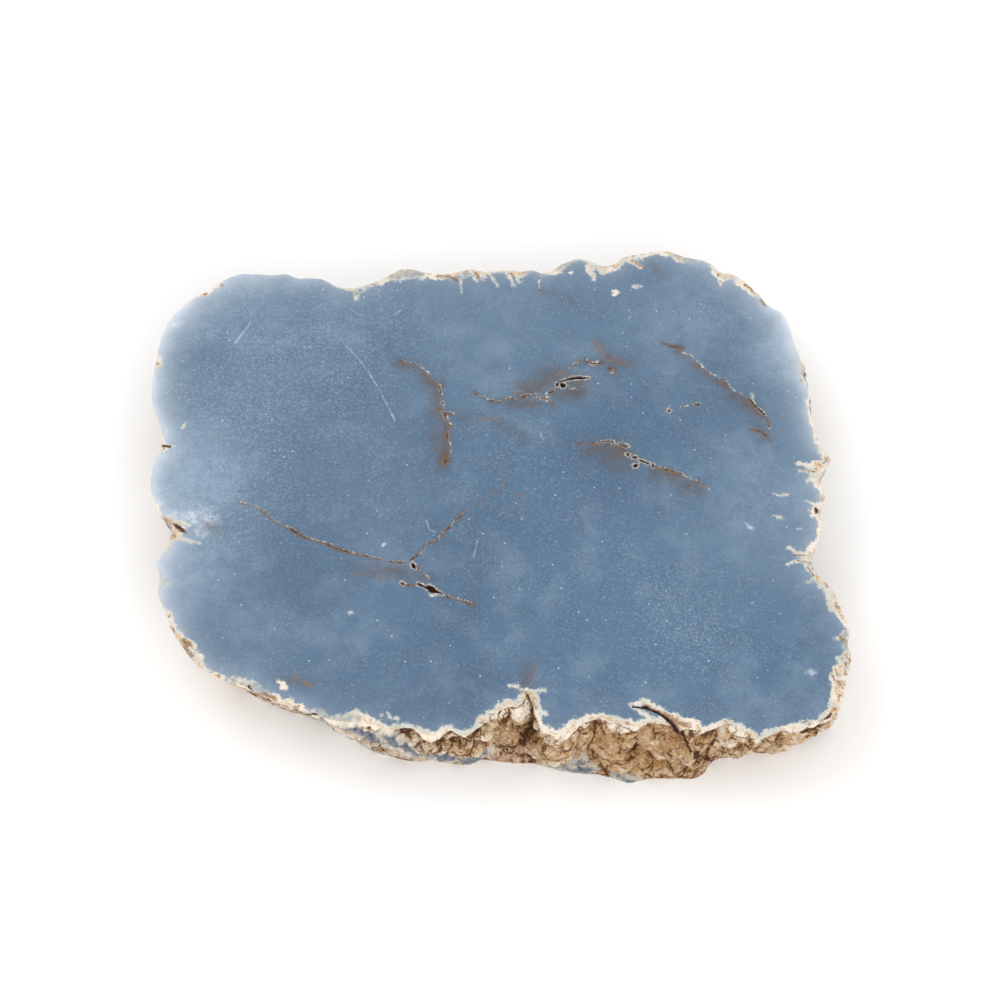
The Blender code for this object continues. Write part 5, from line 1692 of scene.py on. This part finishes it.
@dataclass(frozen=True)
class SawnBase:
    """The same stone as the saw left it: a dry, paler blue with faint parallel saw marks."""

    blue: str = "#8093a8"
    dust: str = "#a9b5c2"
    saw_pitch: float = 1.1
    roughness: float = 0.66
    ior: float = 1.57

    def make(self) -> bpy.types.Material:
        """Builds the material."""
        nodes = StoneNodes("anhydrite_sawn")
        rind = RindColours()
        colour = nodes.blend(nodes.ramp(nodes.grain(9.0, 4.0, 0.6), 0.35, 0.65), self.blue, self.dust)
        cream = nodes.sum("ADD", nodes.mark("cream"),
                          nodes.ramp(nodes.grain(1.5, 4.0, 0.65), 0.2, 0.8, -0.9, 0.9))
        colour = nodes.blend(nodes.ramp(cream, -0.2, 0.3), colour, rind.lay(nodes))
        lines = add_node(nodes.tree, "ShaderNodeTexWave", {"bands_direction": "X"}, {
            "Vector": nodes.place, "Scale": per_mm(self.saw_pitch) / 20.0, "Distortion": 1.2, "Detail": 2.0,
        }).outputs["Fac"]
        rough = nodes.ramp(nodes.grain(2.0, 2.0), 0.3, 0.7, self.roughness - 0.06, self.roughness + 0.06)
        return nodes.finish(colour, rough, nodes.sum("MULTIPLY", lines, 0.05), {"IOR": self.ior})


@dataclass(frozen=True)
class StudioFloor:
    """A wide sheet of matt white board: nearly white, with only a breath of texture."""

    white: str = "#fdfdfd"
    shade: str = "#f4f4f4"
    half_side: float = 1.5
    roughness: float = 0.9

    def build(self) -> bpy.types.Object:
        """Builds the floor and returns it."""
        side = self.half_side
        mesh = bpy.data.meshes.new("studio_floor")
        mesh.from_pydata([(-side, -side, 0.0), (side, -side, 0.0), (side, side, 0.0), (-side, side, 0.0)], [],
                         [(0, 1, 2, 3)])
        nodes = StoneNodes("board_matt_white")
        colour = nodes.blend(nodes.ramp(nodes.grain(40.0), 0.3, 0.7, 0.0, 0.04), self.white, self.shade)
        height = nodes.sum("MULTIPLY", nodes.grain(0.6), 0.01)
        rough = nodes.ramp(nodes.grain(3.0), 0.3, 0.7, self.roughness - 0.03, self.roughness + 0.03)
        mesh.materials.append(nodes.finish(colour, rough, height, {"Specular IOR Level": 0.2}))
        floor = bpy.data.objects.new("studio_floor", mesh)
        bpy.context.scene.collection.objects.link(floor)
        return floor


@dataclass(frozen=True)
class Softbox:
    """One large soft light: where it is, its side and its power."""

    name: str
    place: tuple[float, float, float]
    side: float
    watts: float
    colour: str = "#ffffff"

    def build(self) -> None:
        """Adds the light, aimed at the stone."""
        lamp = bpy.data.lights.new(self.name, "AREA")
        lamp.shape = "SQUARE"
        lamp.size = self.side
        lamp.energy = self.watts
        lamp.color = linear(self.colour)[:3]
        holder = bpy.data.objects.new(self.name, lamp)
        holder.location = self.place
        holder.rotation_euler = (-Vector(self.place)).to_track_quat("-Z", "Y").to_euler()
        bpy.context.scene.collection.objects.link(holder)


@dataclass(frozen=True)
class PhotoView:
    """The photograph's viewpoint: looking down at the face from the front, with a long lens."""

    elevation: float = 60.0
    distance: float = 0.7
    lens: float = 117.18
    sensor: float = 36.0

    def build(self) -> None:
        """Adds the camera and makes it the scene's own."""
        aim = Vector((-PLAN_MIDDLE[0] * MM, -PLAN_MIDDLE[1] * MM, THICKNESS * MM))
        angle = math.radians(self.elevation)
        back = Vector((0.0, -math.cos(angle), math.sin(angle)))
        camera = bpy.data.cameras.new("photo_view")
        camera.lens = self.lens
        camera.sensor_width = self.sensor
        camera.clip_start = 0.01
        holder = bpy.data.objects.new("photo_view", camera)
        holder.location = aim + back * self.distance
        holder.rotation_euler = (-back).to_track_quat("-Z", "Y").to_euler()
        bpy.context.scene.collection.objects.link(holder)
        bpy.context.scene.camera = holder


@dataclass(frozen=True)
class Studio:
    """The plain pale setting: a white floor, light from all round, and three soft lights."""

    sky: str = "#ffffff"
    sky_strength: float = 0.88
    lights: tuple[Softbox, ...] = (
        Softbox("key_light", (-0.75, 0.45, 1.1), 1.0, 4.0),
        Softbox("fill_light", (0.8, -0.7, 0.9), 1.2, 2.0),
        Softbox("front_light", (0.2, -1.0, 0.6), 1.0, 4.6),
    )

    def build(self) -> None:
        """Builds the floor, the lights, the sky and the camera."""
        StudioFloor().build()
        for light in self.lights:
            light.build()
        world = bpy.data.worlds.new("studio_sky")
        world.use_nodes = True
        backdrop = world.node_tree.nodes["Background"]
        backdrop.inputs["Color"].default_value = linear(self.sky)
        backdrop.inputs["Strength"].default_value = self.sky_strength
        bpy.context.scene.world = world
        bpy.context.scene.view_settings.view_transform = "Standard"
        PhotoView().build()


def main() -> None:
    """Builds the stone and its setting.
    """
    logging.basicConfig(level=logging.INFO, format="%(message)s")
    stone = Slab().build()
    for finish in (PolishedFace(), NaturalRind(), SawnBase()):
        stone.data.materials.append(finish.make())
    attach(stone, "root")
    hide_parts("slab")
    LOG.info("anhydrite_slab: dressed with %d finishes", len(stone.data.materials))
    Studio().build()
    LOG.info("studio: floor, lights and camera")


if __name__ == "__main__":
    main()
